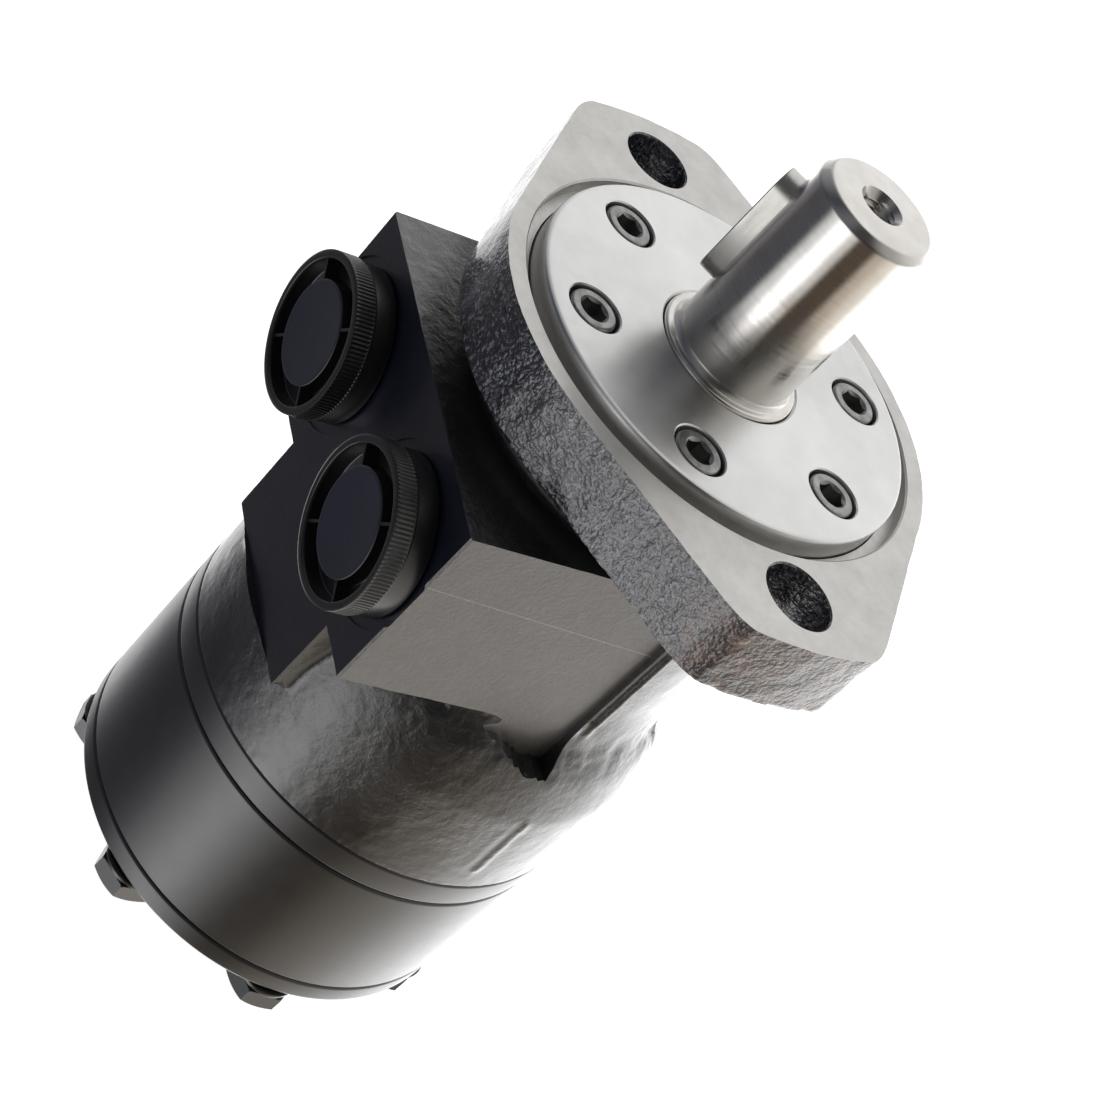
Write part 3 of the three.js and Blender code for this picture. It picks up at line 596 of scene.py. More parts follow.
def flange_outline():
    """The oval flange: two rounded ends joined by straight sides to a middle circle."""
    end_radius, side_radius = 65.3 * MM, 48 * MM
    corner = Vector((62 * MM, 17 * MM))
    corner_angle = math.degrees(math.atan2(corner.y, corner.x))
    tangent = corner_angle + math.degrees(math.acos(side_radius / corner.length))
    start = Vector(arc((0, 0), end_radius, 0, corner_angle - 3, 1)[-1])
    side = Vector(arc((0, 0), side_radius, tangent, tangent, 1)[0])
    after = corner.lerp(side, 0.09)
    rounding = [
        start * (1 - t) ** 2 + corner * 2 * t * (1 - t) + after * t * t
        for t in (i / 8 for i in range(1, 9))
    ]
    quarter = arc((0, 0), end_radius, 0, corner_angle - 3, 12)
    quarter += [tuple(p) for p in rounding]
    quarter += arc((0, 0), side_radius, tangent, 90, 18)
    left = [(-x, y) for x, y in reversed(quarter[:-1])]
    upper = quarter + left
    lower = [(x, -y) for x, y in reversed(upper[1:-1])]
    return upper + lower


def casting():
    """The rough casting, a little oversize where it is machined afterwards."""
    extra = 0.9 * MM
    barrel = turned("housing", [
        (0, HOUSING_LOW.z - extra),
        (BARREL_RADIUS, HOUSING_LOW.z - extra),
        (BARREL_RADIUS, SHOULDER, 1.2 * MM),
        (46.3 * MM, 77.5 * MM, 4 * MM),
        (44.2 * MM, 85.5 * MM, 5 * MM),
        (41.4 * MM, 90.5 * MM, 5 * MM),
        (NECK_RADIUS, 98 * MM, 6 * MM),
        (NECK_RADIUS, FLANGE_REAR - 1.6 * MM, 1.5 * MM),
        (NECK_RADIUS + 1.4 * MM, FLANGE_REAR),
        (NECK_RADIUS + 1.4 * MM, FLANGE_REAR + 2 * MM),
        (0, FLANGE_REAR + 2 * MM),
    ], 160)
    flange = prism("flange", flange_outline(), FLANGE_REAR, FLANGE_FACE + extra)
    ports = block(
        "ports",
        (-BLOCK_HALF_WIDTH - extra, PORT_FACE - extra, BLOCK_REAR),
        (BLOCK_HALF_WIDTH + extra, 2.3 * MM, BLOCK_FRONT),
    )
    pad = block(
        "pad",
        (-PAD_HALF_WIDTH, PAD_FACE - extra, PAD_REAR),
        (PAD_HALF_WIDTH, 0, BLOCK_REAR + 2 * MM),
    )
    ribs = [
        block(
            "parting_line",
            (side * NECK_RADIUS - 1 * MM, y, HOUSING_LOW.z),
            (side * NECK_RADIUS + 1 * MM, y + 0.8 * MM, FLANGE_REAR + 1 * MM),
        )
        for side in (-1, 1)
        for y in (1.6 * MM, 4.8 * MM)
    ]
    barrel_ribs = [
        block(
            "barrel_line",
            (side * BARREL_RADIUS - 1.5 * MM, y, HOUSING_LOW.z + 6 * MM),
            (side * BARREL_RADIUS + 0.1 * MM, y + 0.8 * MM, SHOULDER - 0.5 * MM),
        )
        for side in (-1, 1)
        for y in (1.6 * MM, 4.8 * MM)
    ]
    body = join(barrel, flange, ports, pad, *ribs, *barrel_ribs)
    remesh = body.modifiers.new("cast", "REMESH")
    remesh.mode = "VOXEL"
    remesh.voxel_size = 0.68 * MM
    soften = body.modifiers.new("soften", "SMOOTH")
    soften.factor = 0.5
    soften.iterations = 3
    applied(body)
    return weathered(body)


def weathered(body):
    """Sand-cast unevenness, strongest along the torn rear edges of the port block."""
    vertices = body.data.vertices
    normals = [vertex.normal.copy() for vertex in vertices]
    for vertex, normal in zip(vertices, normals):
        p = vertex.co.copy()
        lumps = noise.noise(p / (4 * MM)) + 0.5 * noise.noise(p / (1.7 * MM))
        torn = max(0, 1 - abs(p.z - 89 * MM) / (7 * MM)) * (abs(p.x) > 30 * MM)
        flange = 0.14 if p.z > FLANGE_REAR - 1 * MM else 0
        depth = (0.12 + flange + 0.55 * torn) * MM
        vertex.co = p - normal * depth * (0.6 + 0.5 * lumps)
    return body


def ragged_side(side):
    """The slab that milling takes off a side of the port block, with an uneven rear end."""
    random.seed(7 if side > 0 else 8)
    rear = [(-60, 93), (-38, 93.2), (-26, 92.4), (-17, 90.6), (-9, 87.2), (-3, 84.6), (2.4, 84.2)]
    outline = []
    for (y0, z0), (y1, z1) in zip(rear, rear[1:]):
        for step in range(6):
            t = step / 6
            jitter = random.uniform(-0.45, 0.45) if y0 > -50 else 0
            outline.append((z0 + (z1 - z0) * t + jitter, y0 + (y1 - y0) * t))
    outline += [(84.2, 2.4), (137, 2.4), (137, -60)]
    slab = prism("slab", [(-z * MM, y * MM) for z, y in outline], 0, 8 * MM)
    rotate(slab, math.radians(90), "Y")
    start = BLOCK_HALF_WIDTH if side > 0 else -BLOCK_HALF_WIDTH - 8 * MM
    move(slab, start, 0)
    return slab


def edge_chamfer(side):
    """A narrow flat rubbed along the edge between the port face and a side of the block."""
    width, out = 0.45 * MM, 1.5 * MM
    x, y = BLOCK_HALF_WIDTH, PORT_FACE
    outline = [(x - width - out, y - out), (x + out, y + width + out), (x + out, y - out)]
    return prism("chamfer", [(side * px, py) for px, py in outline], 85 * MM, 140 * MM)


def gallery_grooves(surface, bottom):
    """Profile points of a square groove at each gallery, from a surface to its bottom."""
    return [
        (radius, z + side * GALLERY_HALF)
        for z in GALLERIES
        for radius, side in ((surface, -1), (bottom, -1), (bottom, 1), (surface, 1))
    ]


def machining():
    """Everything that is cut into the casting: faces, bores, holes and oil ways."""
    far = 90 * MM
    commutator = sum(GALLERIES) / 2
    bore = SPOOL_RADIUS + 0.4 * MM
    floor = 133.2 * MM
    seat = COVER_REAR - 0.3 * MM
    tools = [
        block("front", (-far, -far, FLANGE_FACE), (far, far, FLANGE_FACE + far)),
        block("rear", (-far, -far, HOUSING_LOW.z - far), (far, far, HOUSING_LOW.z)),
        block("face", (-far, PORT_FACE - far, 92 * MM), (far, PORT_FACE, 137 * MM)),
        block(
            "pad_face",
            (-PAD_HALF_WIDTH, PAD_FACE - far, PAD_REAR),
            (PAD_HALF_WIDTH, PAD_FACE, 93.3 * MM),
        ),
        ragged_side(1),
        ragged_side(-1),
        edge_chamfer(1),
        edge_chamfer(-1),
        turned("spool_bore", [
            (0, HOUSING_LOW.z - 1 * MM),
            (bore, HOUSING_LOW.z - 1 * MM),
            *gallery_grooves(bore, GALLERY_RADIUS),
            (bore, floor),
            (SPIGOT_RADIUS + 0.5 * MM, floor),
            (SPIGOT_RADIUS + 0.5 * MM, seat + 1 * MM),
            (0, seat + 1 * MM),
        ], 96),
        turned("cover_bore", [
            (0, seat),
            (PILOT_RADIUS + 0.3 * MM, seat),
            (PILOT_RADIUS + 0.3 * MM, FLANGE_FACE - 3 * MM),
            (GROOVE_RADIUS, FLANGE_FACE - 3 * MM),
            (GROOVE_RADIUS, FLANGE_FACE - 0.35 * MM),
            (GROOVE_RADIUS + 0.35 * MM, FLANGE_FACE),
            (GROOVE_RADIUS + 1.35 * MM, FLANGE_FACE + 1 * MM),
            (0, FLANGE_FACE + 1 * MM),
        ], 160),
    ]
    for x in (-FLANGE_HOLE_X, FLANGE_HOLE_X):
        hole = turned("flange_hole", [
            (0, FLANGE_REAR - 2 * MM),
            (FLANGE_HOLE_RADIUS, FLANGE_REAR - 2 * MM),
            (FLANGE_HOLE_RADIUS, FLANGE_FACE - 0.3 * MM),
            (FLANGE_HOLE_RADIUS + 0.4 * MM, FLANGE_FACE + 0.1 * MM),
            (FLANGE_HOLE_RADIUS + 0.4 * MM, FLANGE_FACE + 1 * MM),
            (0, FLANGE_FACE + 1 * MM),
        ], 64)
        move(hole, x, 0)
        tools.append(hole)
    for spot in middles("cover_screw", SCREW_COUNT):
        top = seat + 1 * MM
        tools.append(drum("screw_hole", SCREW_HOLE_RADIUS, 136 * MM, top, spot, 24))
    for spot in middles("rear_bolt", BOLT_COUNT):
        low = HOUSING_LOW.z - 1 * MM
        tools.append(drum("bolt_hole", BOLT_HOLE_RADIUS, low, 66 * MM, spot, 24))
        away = Vector((spot.x, spot.y, 0)).normalized()
        way = away * CHAMBER_CIRCLE
        tools.append(drum("chamber_way", 2.2 * MM, low, commutator + 2 * MM, way, 20))
        inner = away * (SPOOL_RADIUS - 1 * MM) + Vector((0, 0, commutator))
        tools.append(passage("radial_way", inner, way + Vector((0, 0, commutator)), 1.7 * MM, 16))
    for node, gallery, end in (
        ("port_plug_1", GALLERIES[1], (-11 * MM, -13 * MM)),
        ("port_plug_2", GALLERIES[0], (18 * MM, -9.5 * MM)),
    ):
        x = middle(node).x
        mouth = (x, PORT_FACE - 1 * MM, PORT_HEIGHT)
        lift = math.copysign(4 * MM, gallery - PORT_HEIGHT)
        tools.append(port_bore(x))
        spot_floor = (x, PORT_FACE + SPOT_FACE_DEPTH, PORT_HEIGHT)
        way_start = (x, -28 * MM, PORT_HEIGHT + lift)
        tools.append(passage("spot_face", mouth, spot_floor, SPOT_FACE_RADIUS, 72))
        tools.append(passage("port_way", way_start, (*end, gallery), 3 * MM, 20))
    return tools


def port_bore(x):
    """A tapped port: thread grooves near the mouth, then a plain bore."""
    depth, pitch, turns = 25 * MM, 1.8 * MM, 7
    crest = PORT_RADIUS + 0.75 * MM
    rows = [
        (0, -1 * MM),
        (PORT_RADIUS + 1.2 * MM, -1 * MM),
        (PORT_RADIUS + 0.9 * MM, 0.2 * MM),
        (PORT_RADIUS, 1.2 * MM),
    ]
    for i in range(turns):
        low = (2.0 + i * pitch / MM) * MM
        rows += [(PORT_RADIUS, low), (crest, low + pitch * 0.45), (PORT_RADIUS, low + pitch * 0.9)]
    rows += [(PORT_RADIUS, depth), (0, depth)]
    bore = turned("port_bore", rows, 64)
    rotate(bore, math.radians(-90), "X")
    move(bore, x, PORT_FACE, PORT_HEIGHT)
    return bore


def housing():
    tool, *others = machining()
    body = cut(casting(), join(tool, *others))
    body.name = "housing_body"
    mesh = body.data
    mesh.materials.clear()
    for material in HOUSING_MATERIALS:
        mesh.materials.append(material)
    for face in mesh.polygons:
        face.material_index = housing_material(face)
    shade(body, 34)
    for face in mesh.polygons:
        flange_face = face.normal.z > 0.999 and face.center.z > BLOCK_FRONT
        if face.material_index in (MACHINED, SIDE) or flange_face:
            face.use_smooth = False
    return dress(body, "motor", "black_paint", CAST_PAINT, "housing")


def housing_material(face):
    """Which of HOUSING_MATERIALS a face has, by where it lies and which way it looks."""
    place, normal = face.center, face.normal
    radius = math.hypot(place.x, place.y)
    if place.z > FLANGE_FACE - 3.2 * MM and radius < GROOVE_RADIUS + 0.5 * MM:
        return BARE
    if place.z > FLANGE_FACE - 0.05 * MM:
        return BARE
    in_hole = math.hypot(abs(place.x) - FLANGE_HOLE_X, place.y) < FLANGE_HOLE_RADIUS + 0.45 * MM
    if place.z > FLANGE_REAR - 0.5 * MM and in_hole:
        return ROUGH
    if place.z > FLANGE_REAR - 0.6 * MM and radius > 30 * MM:
        return ROUGH
    in_port = math.hypot(abs(place.x) - PORT_X, place.z - PORT_HEIGHT) < SPOT_FACE_RADIUS
    inside = PORT_FACE + SPOT_FACE_DEPTH + 0.2 * MM < place.y < -20 * MM
    if in_port and inside and abs(place.x) < BLOCK_HALF_WIDTH - 1 * MM:
        return BARE
    if radius < 30 * MM and place.y > -30 * MM:
        return BARE
    # The block's sides get the side paint, whose lighter colour is a painted reflection.
    if abs(abs(place.x) - BLOCK_HALF_WIDTH) < 0.02 * MM and abs(normal.x) > 0.9:
        return SIDE
    on_pad = abs(place.x) < PAD_HALF_WIDTH and place.z > PAD_REAR and place.y < PAD_FACE + 0.05 * MM
    on_block = place.y < PORT_FACE + 0.5 * MM
    return MACHINED if normal.y < -0.9 and (on_pad or on_block) else CAST


# ------------------------------------------------------------- front cover and its screws
def front_cover():
    bore = JOURNAL_RADIUS + 0.25 * MM
    groove_radius, groove_low, groove_high = 23.1 * MM, 143.6 * MM, 146.4 * MM
    disc = turned("front_cover_disc", [
        (0, COVER_REAR),
        (PILOT_RADIUS, COVER_REAR, 0.3 * MM),
        (PILOT_RADIUS, COVER_FACE, 1.0 * MM),
        (0, COVER_FACE),
    ], 200)
    spigot = turned("spigot", [
        (0, COVER_LOW.z),
        (SPIGOT_RADIUS, COVER_LOW.z),
        (SPIGOT_RADIUS, groove_low),
        (groove_radius, groove_low),
        (groove_radius, groove_high),
        (SPIGOT_RADIUS, groove_high),
        (SPIGOT_RADIUS, COVER_REAR + 1 * MM),
        (0, COVER_REAR + 1 * MM),
    ], 96)
    opening = turned("opening", [
        (0, COVER_LOW.z - 1 * MM),
        (20.5 * MM, COVER_LOW.z - 1 * MM),
        (20.5 * MM, 149 * MM),
        (bore, 149 * MM),
        (bore, 152 * MM),
        (18.6 * MM, 152 * MM),
        (18.6 * MM, 156.5 * MM),
        (bore, 156.5 * MM),
        (bore, COVER_FACE - 0.4 * MM),
        (bore + 0.5 * MM, COVER_FACE + 0.1 * MM),
        (bore + 0.5 * MM, COVER_FACE + 1 * MM),
        (0, COVER_FACE + 1 * MM),
    ], 128)
    holes = []
    for spot in middles("cover_screw", SCREW_COUNT):
        counterbore = turned("counterbore", [
            (0, COVER_REAR - 1 * MM),
            (SCREW_HOLE_RADIUS, COVER_REAR - 1 * MM),
            (SCREW_HOLE_RADIUS, 154 * MM),
            (5.55 * MM, 154 * MM),
            (5.55 * MM, COVER_FACE - 0.25 * MM),
            (5.85 * MM, COVER_FACE + 0.05 * MM),
            (5.85 * MM, COVER_FACE + 1 * MM),
            (0, COVER_FACE + 1 * MM),
        ], 48)
        move(counterbore, spot.x, spot.y)
        holes.append(counterbore)
    cover = cut(join(disc, spigot), opening, *holes)
    shade(cover, 28)
    return dress(cover, "motor", "machined_steel", COVER_STEEL, "front_cover")


def cap_screws():
    for i in range(SCREW_COUNT):
        node = f"cover_screw_{i + 1}"
        low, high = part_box(node)
        spot = (low + high) / 2
        top = high.z

        def knurled(radius, height, angle):
            if radius < 4.7 * MM or height < top - 5.4 * MM or height > top - 0.5 * MM:
                return radius
            return radius - 0.12 * MM * (0.5 + 0.5 * math.cos(36 * angle))

        screw = turned(f"cap_screw_{i + 1}", [
            (0, low.z),
            (2.1 * MM, low.z),
            (2.7 * MM, low.z + 0.6 * MM),
            (2.7 * MM, top - 6 * MM, 0.4 * MM),
            (4.95 * MM, top - 6 * MM, 0.3 * MM),
            (4.95 * MM, top - 5.2 * MM),
            (4.95 * MM, top - 0.55 * MM, 0.2 * MM),
            (4.55 * MM, top, 0.4 * MM),
            (0, top),
        ], 144, knurled)
        socket = prism("socket", circle((0, 0), 2.89 * MM, 6), top - 3.2 * MM, top + 1 * MM)
        mouth = turned("mouth", [
            (0, top - 1.2 * MM),
            (2.2 * MM, top - 0.9 * MM),
            (3.2 * MM, top + 0.1 * MM),
            (0, top + 0.1 * MM),
        ], 48)
        cut(screw, socket, mouth)
        rotate(screw, random.Random(i).uniform(0, 1), "Z")
        move(screw, spot.x, spot.y)
        shade(screw, 32)
        dress(screw, "motor", "black_oxide", OXIDE, node)


# ------------------------------------------------------------- output shaft and key
def keyed_slot(name, width, low, high, foot, top):
    """A round-ended block along Z that stands out of the shaft at the key's angle."""
    half = width / 2
    outline = arc((0, low + half), half, 180, 360, 20) + arc((0, high - half), half, 0, 180, 20)
    shape = prism(name, outline, foot, top)
    turn = Matrix.Rotation(KEY_ANGLE + math.pi / 2, 4, "Z") @ Matrix.Rotation(math.pi / 2, 4, "X")
    shape.data.transform(turn)
    return shape


def output_shaft():
    top = SHAFT_HIGH.z
    collar = COVER_FACE + 0.5 * MM
    spline_rear, spline_front = 93 * MM, 109 * MM
    groove_bottom = SPOOL_RADIUS - SPOOL_GROOVE_DEPTH
    slot_length, slot_half = 22 * MM, 1.8 * MM
    body = turned("output_shaft_body", [
        (0, spline_front + 3 * MM),
        (10.2 * MM, spline_front + 3 * MM, 1 * MM),
        (10.2 * MM, spline_rear),
        (14.6 * MM, spline_rear),
        (14.6 * MM, SHAFT_LOW.z),
        (SPOOL_RADIUS, SHAFT_LOW.z, 0.5 * MM),
        *gallery_grooves(SPOOL_RADIUS, groove_bottom),
        (SPOOL_RADIUS, 133 * MM, 0.5 * MM),
        (JOURNAL_RADIUS, 133 * MM),
        (JOURNAL_RADIUS, collar, 0.9 * MM),
        (SHAFT_RADIUS + 0.9 * MM, collar, 0.25 * MM),
        (SHAFT_RADIUS, collar + 0.9 * MM, 0.8 * MM),
        (SHAFT_RADIUS, top - 1.6 * MM, 0.5 * MM),
        (SHAFT_RADIUS - 1.5 * MM, top, 0.5 * MM),
        (0, top),
    ], 192)
    gap = 0.3 * MM
    low, high = KEY_LOW.z - gap, KEY_HIGH.z + gap
    keyway = keyed_slot("keyway", 8.5 * MM, low, high, 8.5 * MM, SHAFT_RADIUS + 3 * MM)
    cut(body, keyway, tapped_hole(top))
    slots = []
    for i in range(12):
        low = GALLERIES[0] if i % 2 else GALLERIES[1] - slot_length
        slot = block(
            "slot",
            (groove_bottom, -slot_half, low),
            (SPOOL_RADIUS + 1 * MM, slot_half, low + slot_length),
        )
        rotate(slot, math.radians(15 + 30 * i), "Z")
        slots.append(slot)
    cut(body, *slots, spline_space(spline_rear - 1 * MM, spline_front))
    shade(body, 30)
    return dress(body, "output", "polished_steel", SHAFT_STEEL, "output_shaft")


def spline_space(low, high):
    outline = []
    for tooth in range(12):
        at = 30 * tooth
        for radius, angle in ((10.4, -10.5), (12.6, -8.5), (12.6, 8.5), (10.4, 10.5)):
            outline += arc((0, 0), radius * MM, at + angle, at + angle, 1)[:1]
    return prism("spline_space", outline, low, high)


def tapped_hole(top):
    """The centre hole with its countersink and a true helical thread."""
    pitch = 1.25 * MM
    deep = 22 * MM
    rows = [(0, top - deep - 2 * MM), (3.3 * MM, top - deep)]
    step = pitch / 6
    count = int((deep - 1.2 * MM) / step)
    rows += [(3.4 * MM, top - deep + i * step) for i in range(1, count)]
    rows += [(3.5 * MM, top - 1.0 * MM), (4.6 * MM, top + 0.05 * MM), (4.6 * MM, top + 1 * MM)]
    rows.append((0, top + 1 * MM))

    def threaded(radius, height, angle):
        if height > top - 0.8 * MM or height < top - deep + pitch:
            return radius
        phase = (height / pitch - angle / (2 * math.pi)) % 1
        return radius + 0.62 * MM * (1 - abs(2 * phase - 1))

    return turned("tapped_hole", rows, 48, threaded)


def shaft_key():
    key = keyed_slot("key", 8 * MM, KEY_LOW.z, KEY_HIGH.z, 8.8 * MM, 15.75 * MM)
    shade(key, 30, 0.35 * MM)
    return dress(key, "output", "polished_steel", KEY_STEEL, "shaft_key")


# ------------------------------------------------------------- barrel plates and bolts
def plate(name, low, high, chamfer, *cuts):
    """A painted round plate with chamfered rims."""
    body = turned(name, [
        (0, low),
        (BARREL_RADIUS - chamfer, low, 0.1 * MM),
        (BARREL_RADIUS, low + chamfer, 0.3 * MM),
        (BARREL_RADIUS, high - chamfer, 0.3 * MM),
        (BARREL_RADIUS - chamfer, high, 0.1 * MM),
        (0, high),
    ], 200)
    for spot in middles("rear_bolt", BOLT_COUNT):
        hole = drum("hole", BOLT_HOLE_RADIUS, low - 1 * MM, high + 1 * MM, spot, 24)
        cut(body, hole)
    return shade(cut(body, *cuts) if cuts else body, 30)


def ring_bore(low, high):
    """The gear ring's bore: plain arcs between half-round roller pockets."""
    pocket, reach, bore = 4.8, 28.5, 29.8
    cosine = (reach**2 + bore**2 - pocket**2) / (2 * reach * bore)
    edge = math.degrees(math.acos(cosine))
    meet = arc((0, 0), bore, edge, edge, 1)[0]
    wrap = math.degrees(math.atan2(meet[1], meet[0] - reach))
    pitch = 360 / ROLLER_COUNT
    outline = []
    for spot in middles("ring_roller", ROLLER_COUNT):
        angle = math.degrees(math.atan2(spot.y, spot.x))
        outline += arc(spot, pocket * MM, angle - wrap, angle + wrap, 24)
        outline += arc((0, 0), bore * MM, angle + edge, angle + pitch - edge, 10)[1:-1]
    return prism("ring_bore", outline, low, high)


def seal_groove(face, floor):
    inner, outer = 34 * MM, 36 * MM
    profile = [(inner, face), (outer, face), (outer, floor), (inner, floor)]
    return turned("seal_groove", profile, 96)


def barrel_plates():
    over = 1 * MM
    low, high = SPACER_LOW.z, SPACER_HIGH.z
    ways = []
    for spot in middles("rear_bolt", BOLT_COUNT):
        way = Vector((spot.x, spot.y)).normalized() * CHAMBER_CIRCLE
        ways.append(drum("way", 2.4 * MM, low - over, high + over, way, 20))
    centre_hole = drum("centre", 14 * MM, low - over, high + over, steps=64)
    spacer = plate("spacer_disc", low, high, 0.45 * MM, centre_hole, *ways)
    dress(spacer, "motor", "satin_black", SATIN_PAINT, "spacer_plate")

    low, high = RING_LOW.z, RING_HIGH.z
    groove_depth = 1.6 * MM
    ring = plate(
        "gear_ring",
        low,
        high,
        0.45 * MM,
        ring_bore(low - over, high + over),
        seal_groove(low - over, low + groove_depth),
        seal_groove(high + over, high - groove_depth),
    )
    dress(ring, "motor", "satin_black", SATIN_PAINT, "gerotor_ring")


def end_cover():
    face = 0.4 * MM
    body = turned("end_plate", [
        (0, END_LOW.z),
        (30 * MM, END_LOW.z, 0.2 * MM),
        (30.4 * MM, face, 0.2 * MM),
        (BARREL_RADIUS - 1 * MM, face, 0.5 * MM),
        (BARREL_RADIUS, face + 1 * MM, 0.5 * MM),
        (BARREL_RADIUS, END_HIGH.z - 0.45 * MM, 0.3 * MM),
        (BARREL_RADIUS - 0.45 * MM, END_HIGH.z, 0.1 * MM),
        (0, END_HIGH.z),
    ], 200)
    for spot in middles("rear_bolt", BOLT_COUNT):
        top = END_HIGH.z + 1 * MM
        cut(body, drum("hole", BOLT_HOLE_RADIUS, -1 * MM, top, spot, 24))
    shade(body, 30)
    dress(body, "motor", "satin_black", SATIN_PAINT, "end_cover")


def rear_bolts():
    for i in range(BOLT_COUNT):
        node = f"rear_bolt_{i + 1}"
        low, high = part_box(node)
        spot = middle(node)
        seat = -1.2 * MM
        across_flats = 13 * MM
        corner = across_flats / math.sqrt(3)
        head = prism("head", circle((0, 0), corner, 6), low.z, seat)
        dome = turned("dome", [
            (0, low.z),
            (6.0 * MM, low.z, 0.3 * MM),
            (corner + 0.2 * MM, low.z + 1.1 * MM, 0.2 * MM),
            (corner + 0.2 * MM, seat - 0.5 * MM),
            (corner - 0.3 * MM, seat),
            (0, seat),
        ], 96)
        combine(head, [dome], "INTERSECT")
        shank = turned("shank", [
            (0, seat - 1 * MM),
            (3.8 * MM, seat - 1 * MM),
            (3.8 * MM, high.z - 0.8 * MM),
            (3.0 * MM, high.z),
            (0, high.z),
        ], 32)
        bolt = join(head, shank)
        bolt.name = f"hex_bolt_{i + 1}"
        turn = math.atan2(spot.y, spot.x) + math.radians(30)
        rotate(bolt, turn, "Z")
        move(bolt, spot.x, spot.y)
        shade(bolt, 28)
        dress(bolt, "motor", "black_oxide", SATIN_PAINT, node)

        washer_low, washer_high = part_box(f"bolt_washer_{i + 1}")
        washer = turned(f"washer_{i + 1}", [
            (4.4 * MM, washer_low.z),
            (7 * MM, washer_low.z, 0.25 * MM),
            (7 * MM, washer_high.z, 0.25 * MM),
            (4.4 * MM, washer_high.z),
        ], 64)
        move(washer, spot.x, spot.y)
        shade(washer, 30)
        dress(washer, "motor", "black_oxide", SATIN_PAINT, f"bolt_washer_{i + 1}")


# ------------------------------------------------------------- port plugs
def port_plugs():
    """Moulded plugs: a knurled grip rim round a sunk ring with thin ribs and a plain boss."""
    rim = 15.9 * MM
    face = 9 * MM
    skirt = rim - 0.55 * MM
    inner, outer, floor = 10.3 * MM, 14.1 * MM, 5.6 * MM
    knurl_count, knurl_depth = 120, 0.26 * MM
    rib_count, rib_turn = 4, 52

    def knurled(radius, height, angle):
        if radius < rim - 0.3 * MM or not 4.95 * MM < height < 8.75 * MM:
            return radius
        return radius - knurl_depth * (0.5 + 0.5 * math.cos(knurl_count * angle))

    for i in (1, 2):
        node = f"port_plug_{i}"
        rows = [(rim, 5.0 * MM + 0.6 * MM * step) for step in range(7)]
        plug = turned(f"plug_{i}", [
            (0, 2 * MM),
            (8.2 * MM, 2 * MM),
            (8.2 * MM, -11 * MM),
            (9.85 * MM, -11 * MM, 0.4 * MM),
            (9.85 * MM, -0.1 * MM),
            (skirt, -0.1 * MM, 0.5 * MM),
            (skirt - 0.1 * MM, 4.4 * MM, 0.2 * MM),
            (rim - 0.1 * MM, 4.8 * MM, 0.1 * MM),
            *rows,
            (rim - 0.1 * MM, face - 0.15 * MM),
            (rim - 0.5 * MM, face, 0.2 * MM),
            (outer + 0.2 * MM, face, 0.2 * MM),
            (outer, face - 0.5 * MM, 0.2 * MM),
            (outer - 0.2 * MM, floor, 0.4 * MM),
            (inner + 0.2 * MM, floor, 0.4 * MM),
            (inner, face - 0.5 * MM, 0.3 * MM),
            (inner - 0.5 * MM, face - 0.4 * MM, 0.2 * MM),
            (inner - 1.3 * MM, face - 0.45 * MM),
            (0, face - 0.45 * MM),
        ], 600, knurled)
        ribs = []
        for quarter in range(rib_count):
            rib = block(
                "rib",
                (inner - 0.5 * MM, -0.3 * MM, floor - 0.5 * MM),
                (outer + 0.3 * MM, 0.3 * MM, face - 0.6 * MM),
            )
            rotate(rib, math.radians(90 * quarter + rib_turn), "Z")
            ribs.append(rib)
        join(plug, *ribs)
        plug.data.materials.clear()
        plug.data.materials.append(PLUG_RIM)
        plug.data.materials.append(PLUG_DISC)
        for polygon in plug.data.polygons:
            x, y, z = polygon.center
            on_disc = math.hypot(x, y) < inner - 0.2 * MM and z > face - 0.6 * MM
            polygon.material_index = int(on_disc)
        rotate(plug, math.radians(90), "X")
        move(plug, middle(node).x, PORT_FACE, PORT_HEIGHT)
        shade(plug, 35)
        dress(plug, f"plug_{i}", "plug_plastic", PLUG_RIM, node)


# ------------------------------------------------------------- hidden pieces keep their CAD shape
def dress_hidden():
    seals = ["housing_seal", "dust_seal", "shaft_seal"]
    seals += ["cover_o_ring", "ring_seal_rear", "ring_seal_front"]
    steel = ["seal_backup_ring", "thrust_race_front", "thrust_needle_cage", "thrust_race_rear"]
    steel += ["rotor", "drive_spacer", "drive_link"]
    steel += [f"ring_roller_{i + 1}" for i in range(ROLLER_COUNT)]
    for names, material in ((seals, RUBBER), (steel, HARD_STEEL)):
        for name in names:
            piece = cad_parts[name]
            piece.data.materials.clear()
            piece.data.materials.append(material)


# ------------------------------------------------------------- stage, light and camera
def stage():
    reach = 60  # metres, so that no low view sees the edge
    corners = [(-reach, -reach, 0), (reach, -reach, 0), (reach, reach, 0), (-reach, reach, 0)]
    floor = new_object("floor", corners, [(0, 1, 2, 3)])
    floor.location.z = CAD_BOX[0][2]
    made = Recipe("floor_white")
    made.base(Base_Color=(0.92, 0.92, 0.92, 1), Roughness=0.9, Specular_IOR_Level=0.0)
    made.base(Emission_Color=(1, 1, 1, 1), Emission_Strength=0.93)
    floor.data.materials.append(made.material)
    floor.visible_glossy = False
    floor.visible_diffuse = False


def band(tree, place, *stops):
    """Studio brightness round the horizon. Stops are (turns from -X by way of -Y, colour)."""
    made = tree.nodes.new("ShaderNodeValToRGB")
    made.color_ramp.interpolation = "EASE"
    elements = made.color_ramp.elements
    while len(elements) < len(stops):
        elements.new(0.5)
    for element, (turn, colour) in zip(elements, stops):
        element.position = turn
        element.color = (*colour, 1) if isinstance(colour, tuple) else (colour,) * 3 + (1,)
    tree.links.new(place, made.inputs["Fac"])
    return made.outputs["Color"]


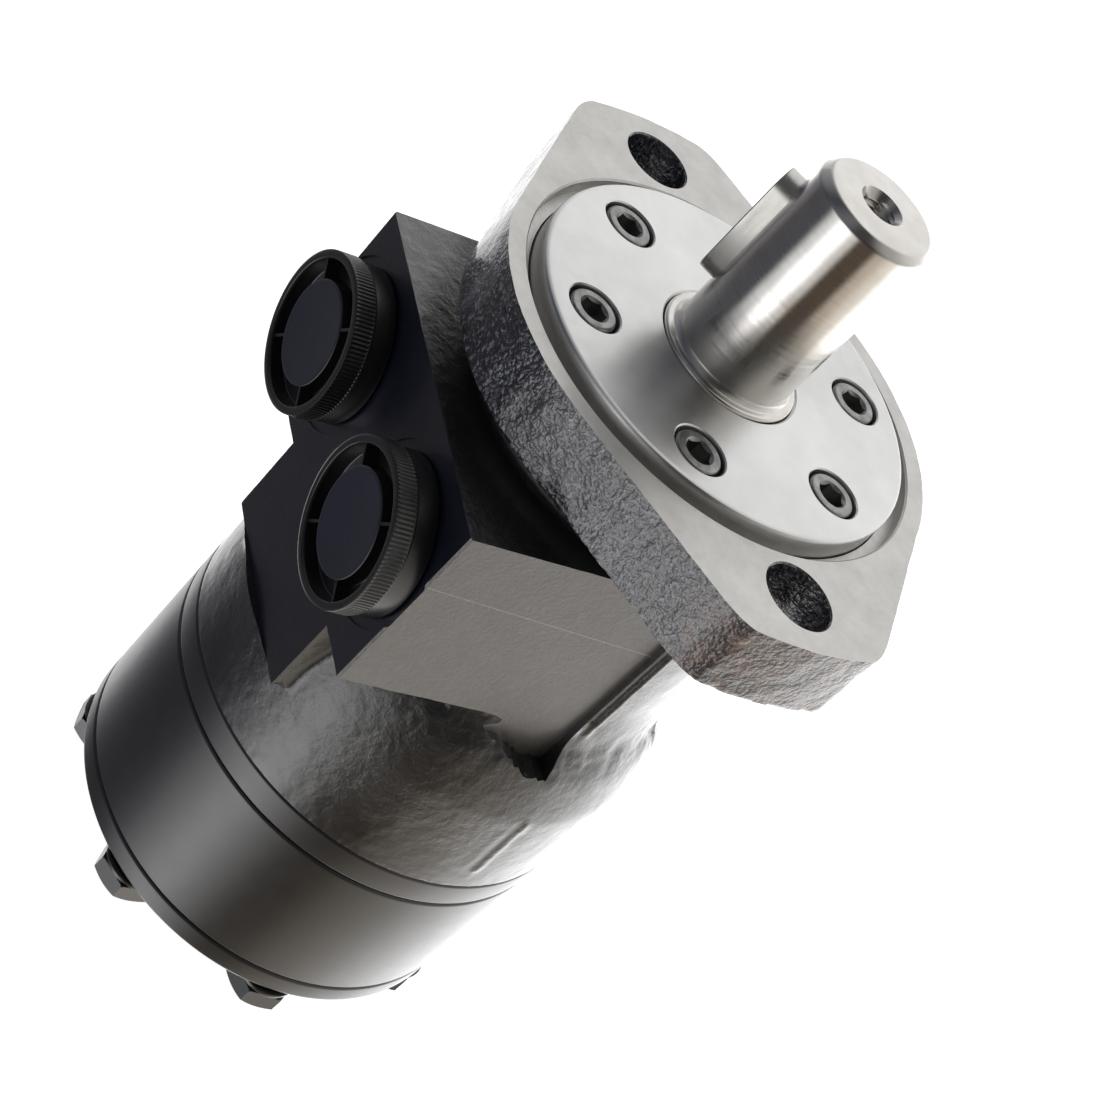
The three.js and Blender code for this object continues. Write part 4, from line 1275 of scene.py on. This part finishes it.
def lighting():
    """A soft studio all round: white behind, dark on the port side, warm on the +X side."""
    world = bpy.data.worlds.new("studio")
    world.use_nodes = True
    tree = world.node_tree
    link = tree.links.new
    direction = tree.nodes.new("ShaderNodeTexCoord").outputs["Generated"]
    split = tree.nodes.new("ShaderNodeSeparateXYZ")
    link(direction, split.inputs["Vector"])
    around = tree.nodes.new("ShaderNodeMath")
    around.operation = "ARCTAN2"
    link(split.outputs["Y"], around.inputs[0])
    link(split.outputs["X"], around.inputs[1])
    turns = tree.nodes.new("ShaderNodeMapRange")
    turns.inputs["From Min"].default_value = -math.pi
    turns.inputs["From Max"].default_value = math.pi
    link(around.outputs[0], turns.inputs["Value"])
    turned_by = turns.outputs["Result"]
    height = tree.nodes.new("ShaderNodeMapRange")
    height.interpolation_type = "SMOOTHSTEP"
    height.inputs["From Min"].default_value = -0.25
    height.inputs["From Max"].default_value = 0.25
    link(split.outputs["Z"], height.inputs["Value"])
    white, warm, tan = (1, 1, 1), (1, 0.93, 0.84), (0.62, 0.54, 0.45)
    navy, brown = (0.085, 0.085, 0.10), (0.10, 0.075, 0.055)
    low = band(
        tree,
        turned_by,
        (0.0, (0.60, 0.61, 0.63)),
        (0.05, (0.20, 0.20, 0.22)),
        (0.11, (0.09, 0.085, 0.085)),
        (0.155, navy),
        (0.215, navy),
        (0.27, (0.90, 0.91, 0.93)),
        (0.33, 2.3),
        (0.39, (0.80, 0.78, 0.76)),
        (0.425, brown),
        (0.485, brown),
        (0.53, tan),
        (0.61, warm),
        (0.66, (1.7, 1.68, 1.65)),
        (0.74, 2.4),
        (0.87, 2.6),
        (0.95, 1.3),
    )
    high = band(
        tree,
        turned_by,
        (0.0, (0.30, 0.31, 0.33)),
        (0.16, (0.06, 0.065, 0.08)),
        (0.30, (0.16, 0.16, 0.17)),
        (0.40, 0.05),
        (0.47, 0.04),
        (0.60, (0.45, 0.44, 0.42)),
        (0.78, 0.98),
        (0.90, 1.02),
        (0.96, (0.55, 0.55, 0.56)),
    )
    mix = tree.nodes.new("ShaderNodeMix")
    mix.data_type = "RGBA"
    colours = [socket for socket in mix.inputs if socket.type == "RGBA"]
    link(height.outputs["Result"], mix.inputs["Factor"])
    link(low, colours[0])
    link(high, colours[1])
    result = next(socket for socket in mix.outputs if socket.type == "RGBA")
    link(result, tree.nodes["Background"].inputs["Color"])
    tree.nodes["Background"].inputs["Strength"].default_value = 1.0
    bpy.context.scene.world = world


CAMERA_PLACE = (0.2823, -0.2755, 0.3798)
CAMERA_TURN = (44.909, -35.549, 75.741)
CAMERA_LENS = 81.1


def camera():
    lens = bpy.data.cameras.new("camera")
    lens.lens = CAMERA_LENS
    lens.clip_start = 0.01
    eye = bpy.data.objects.new("camera", lens)
    bpy.context.scene.collection.objects.link(eye)
    eye.location = CAMERA_PLACE
    eye.rotation_euler = [math.radians(a) for a in CAMERA_TURN]
    bpy.context.scene.camera = eye


camera()
housing()
front_cover()
cap_screws()
output_shaft()
shaft_key()
barrel_plates()
end_cover()
rear_bolts()
port_plugs()
dress_hidden()
stage()
lighting()
bpy.context.scene.view_settings.view_transform = "Standard"
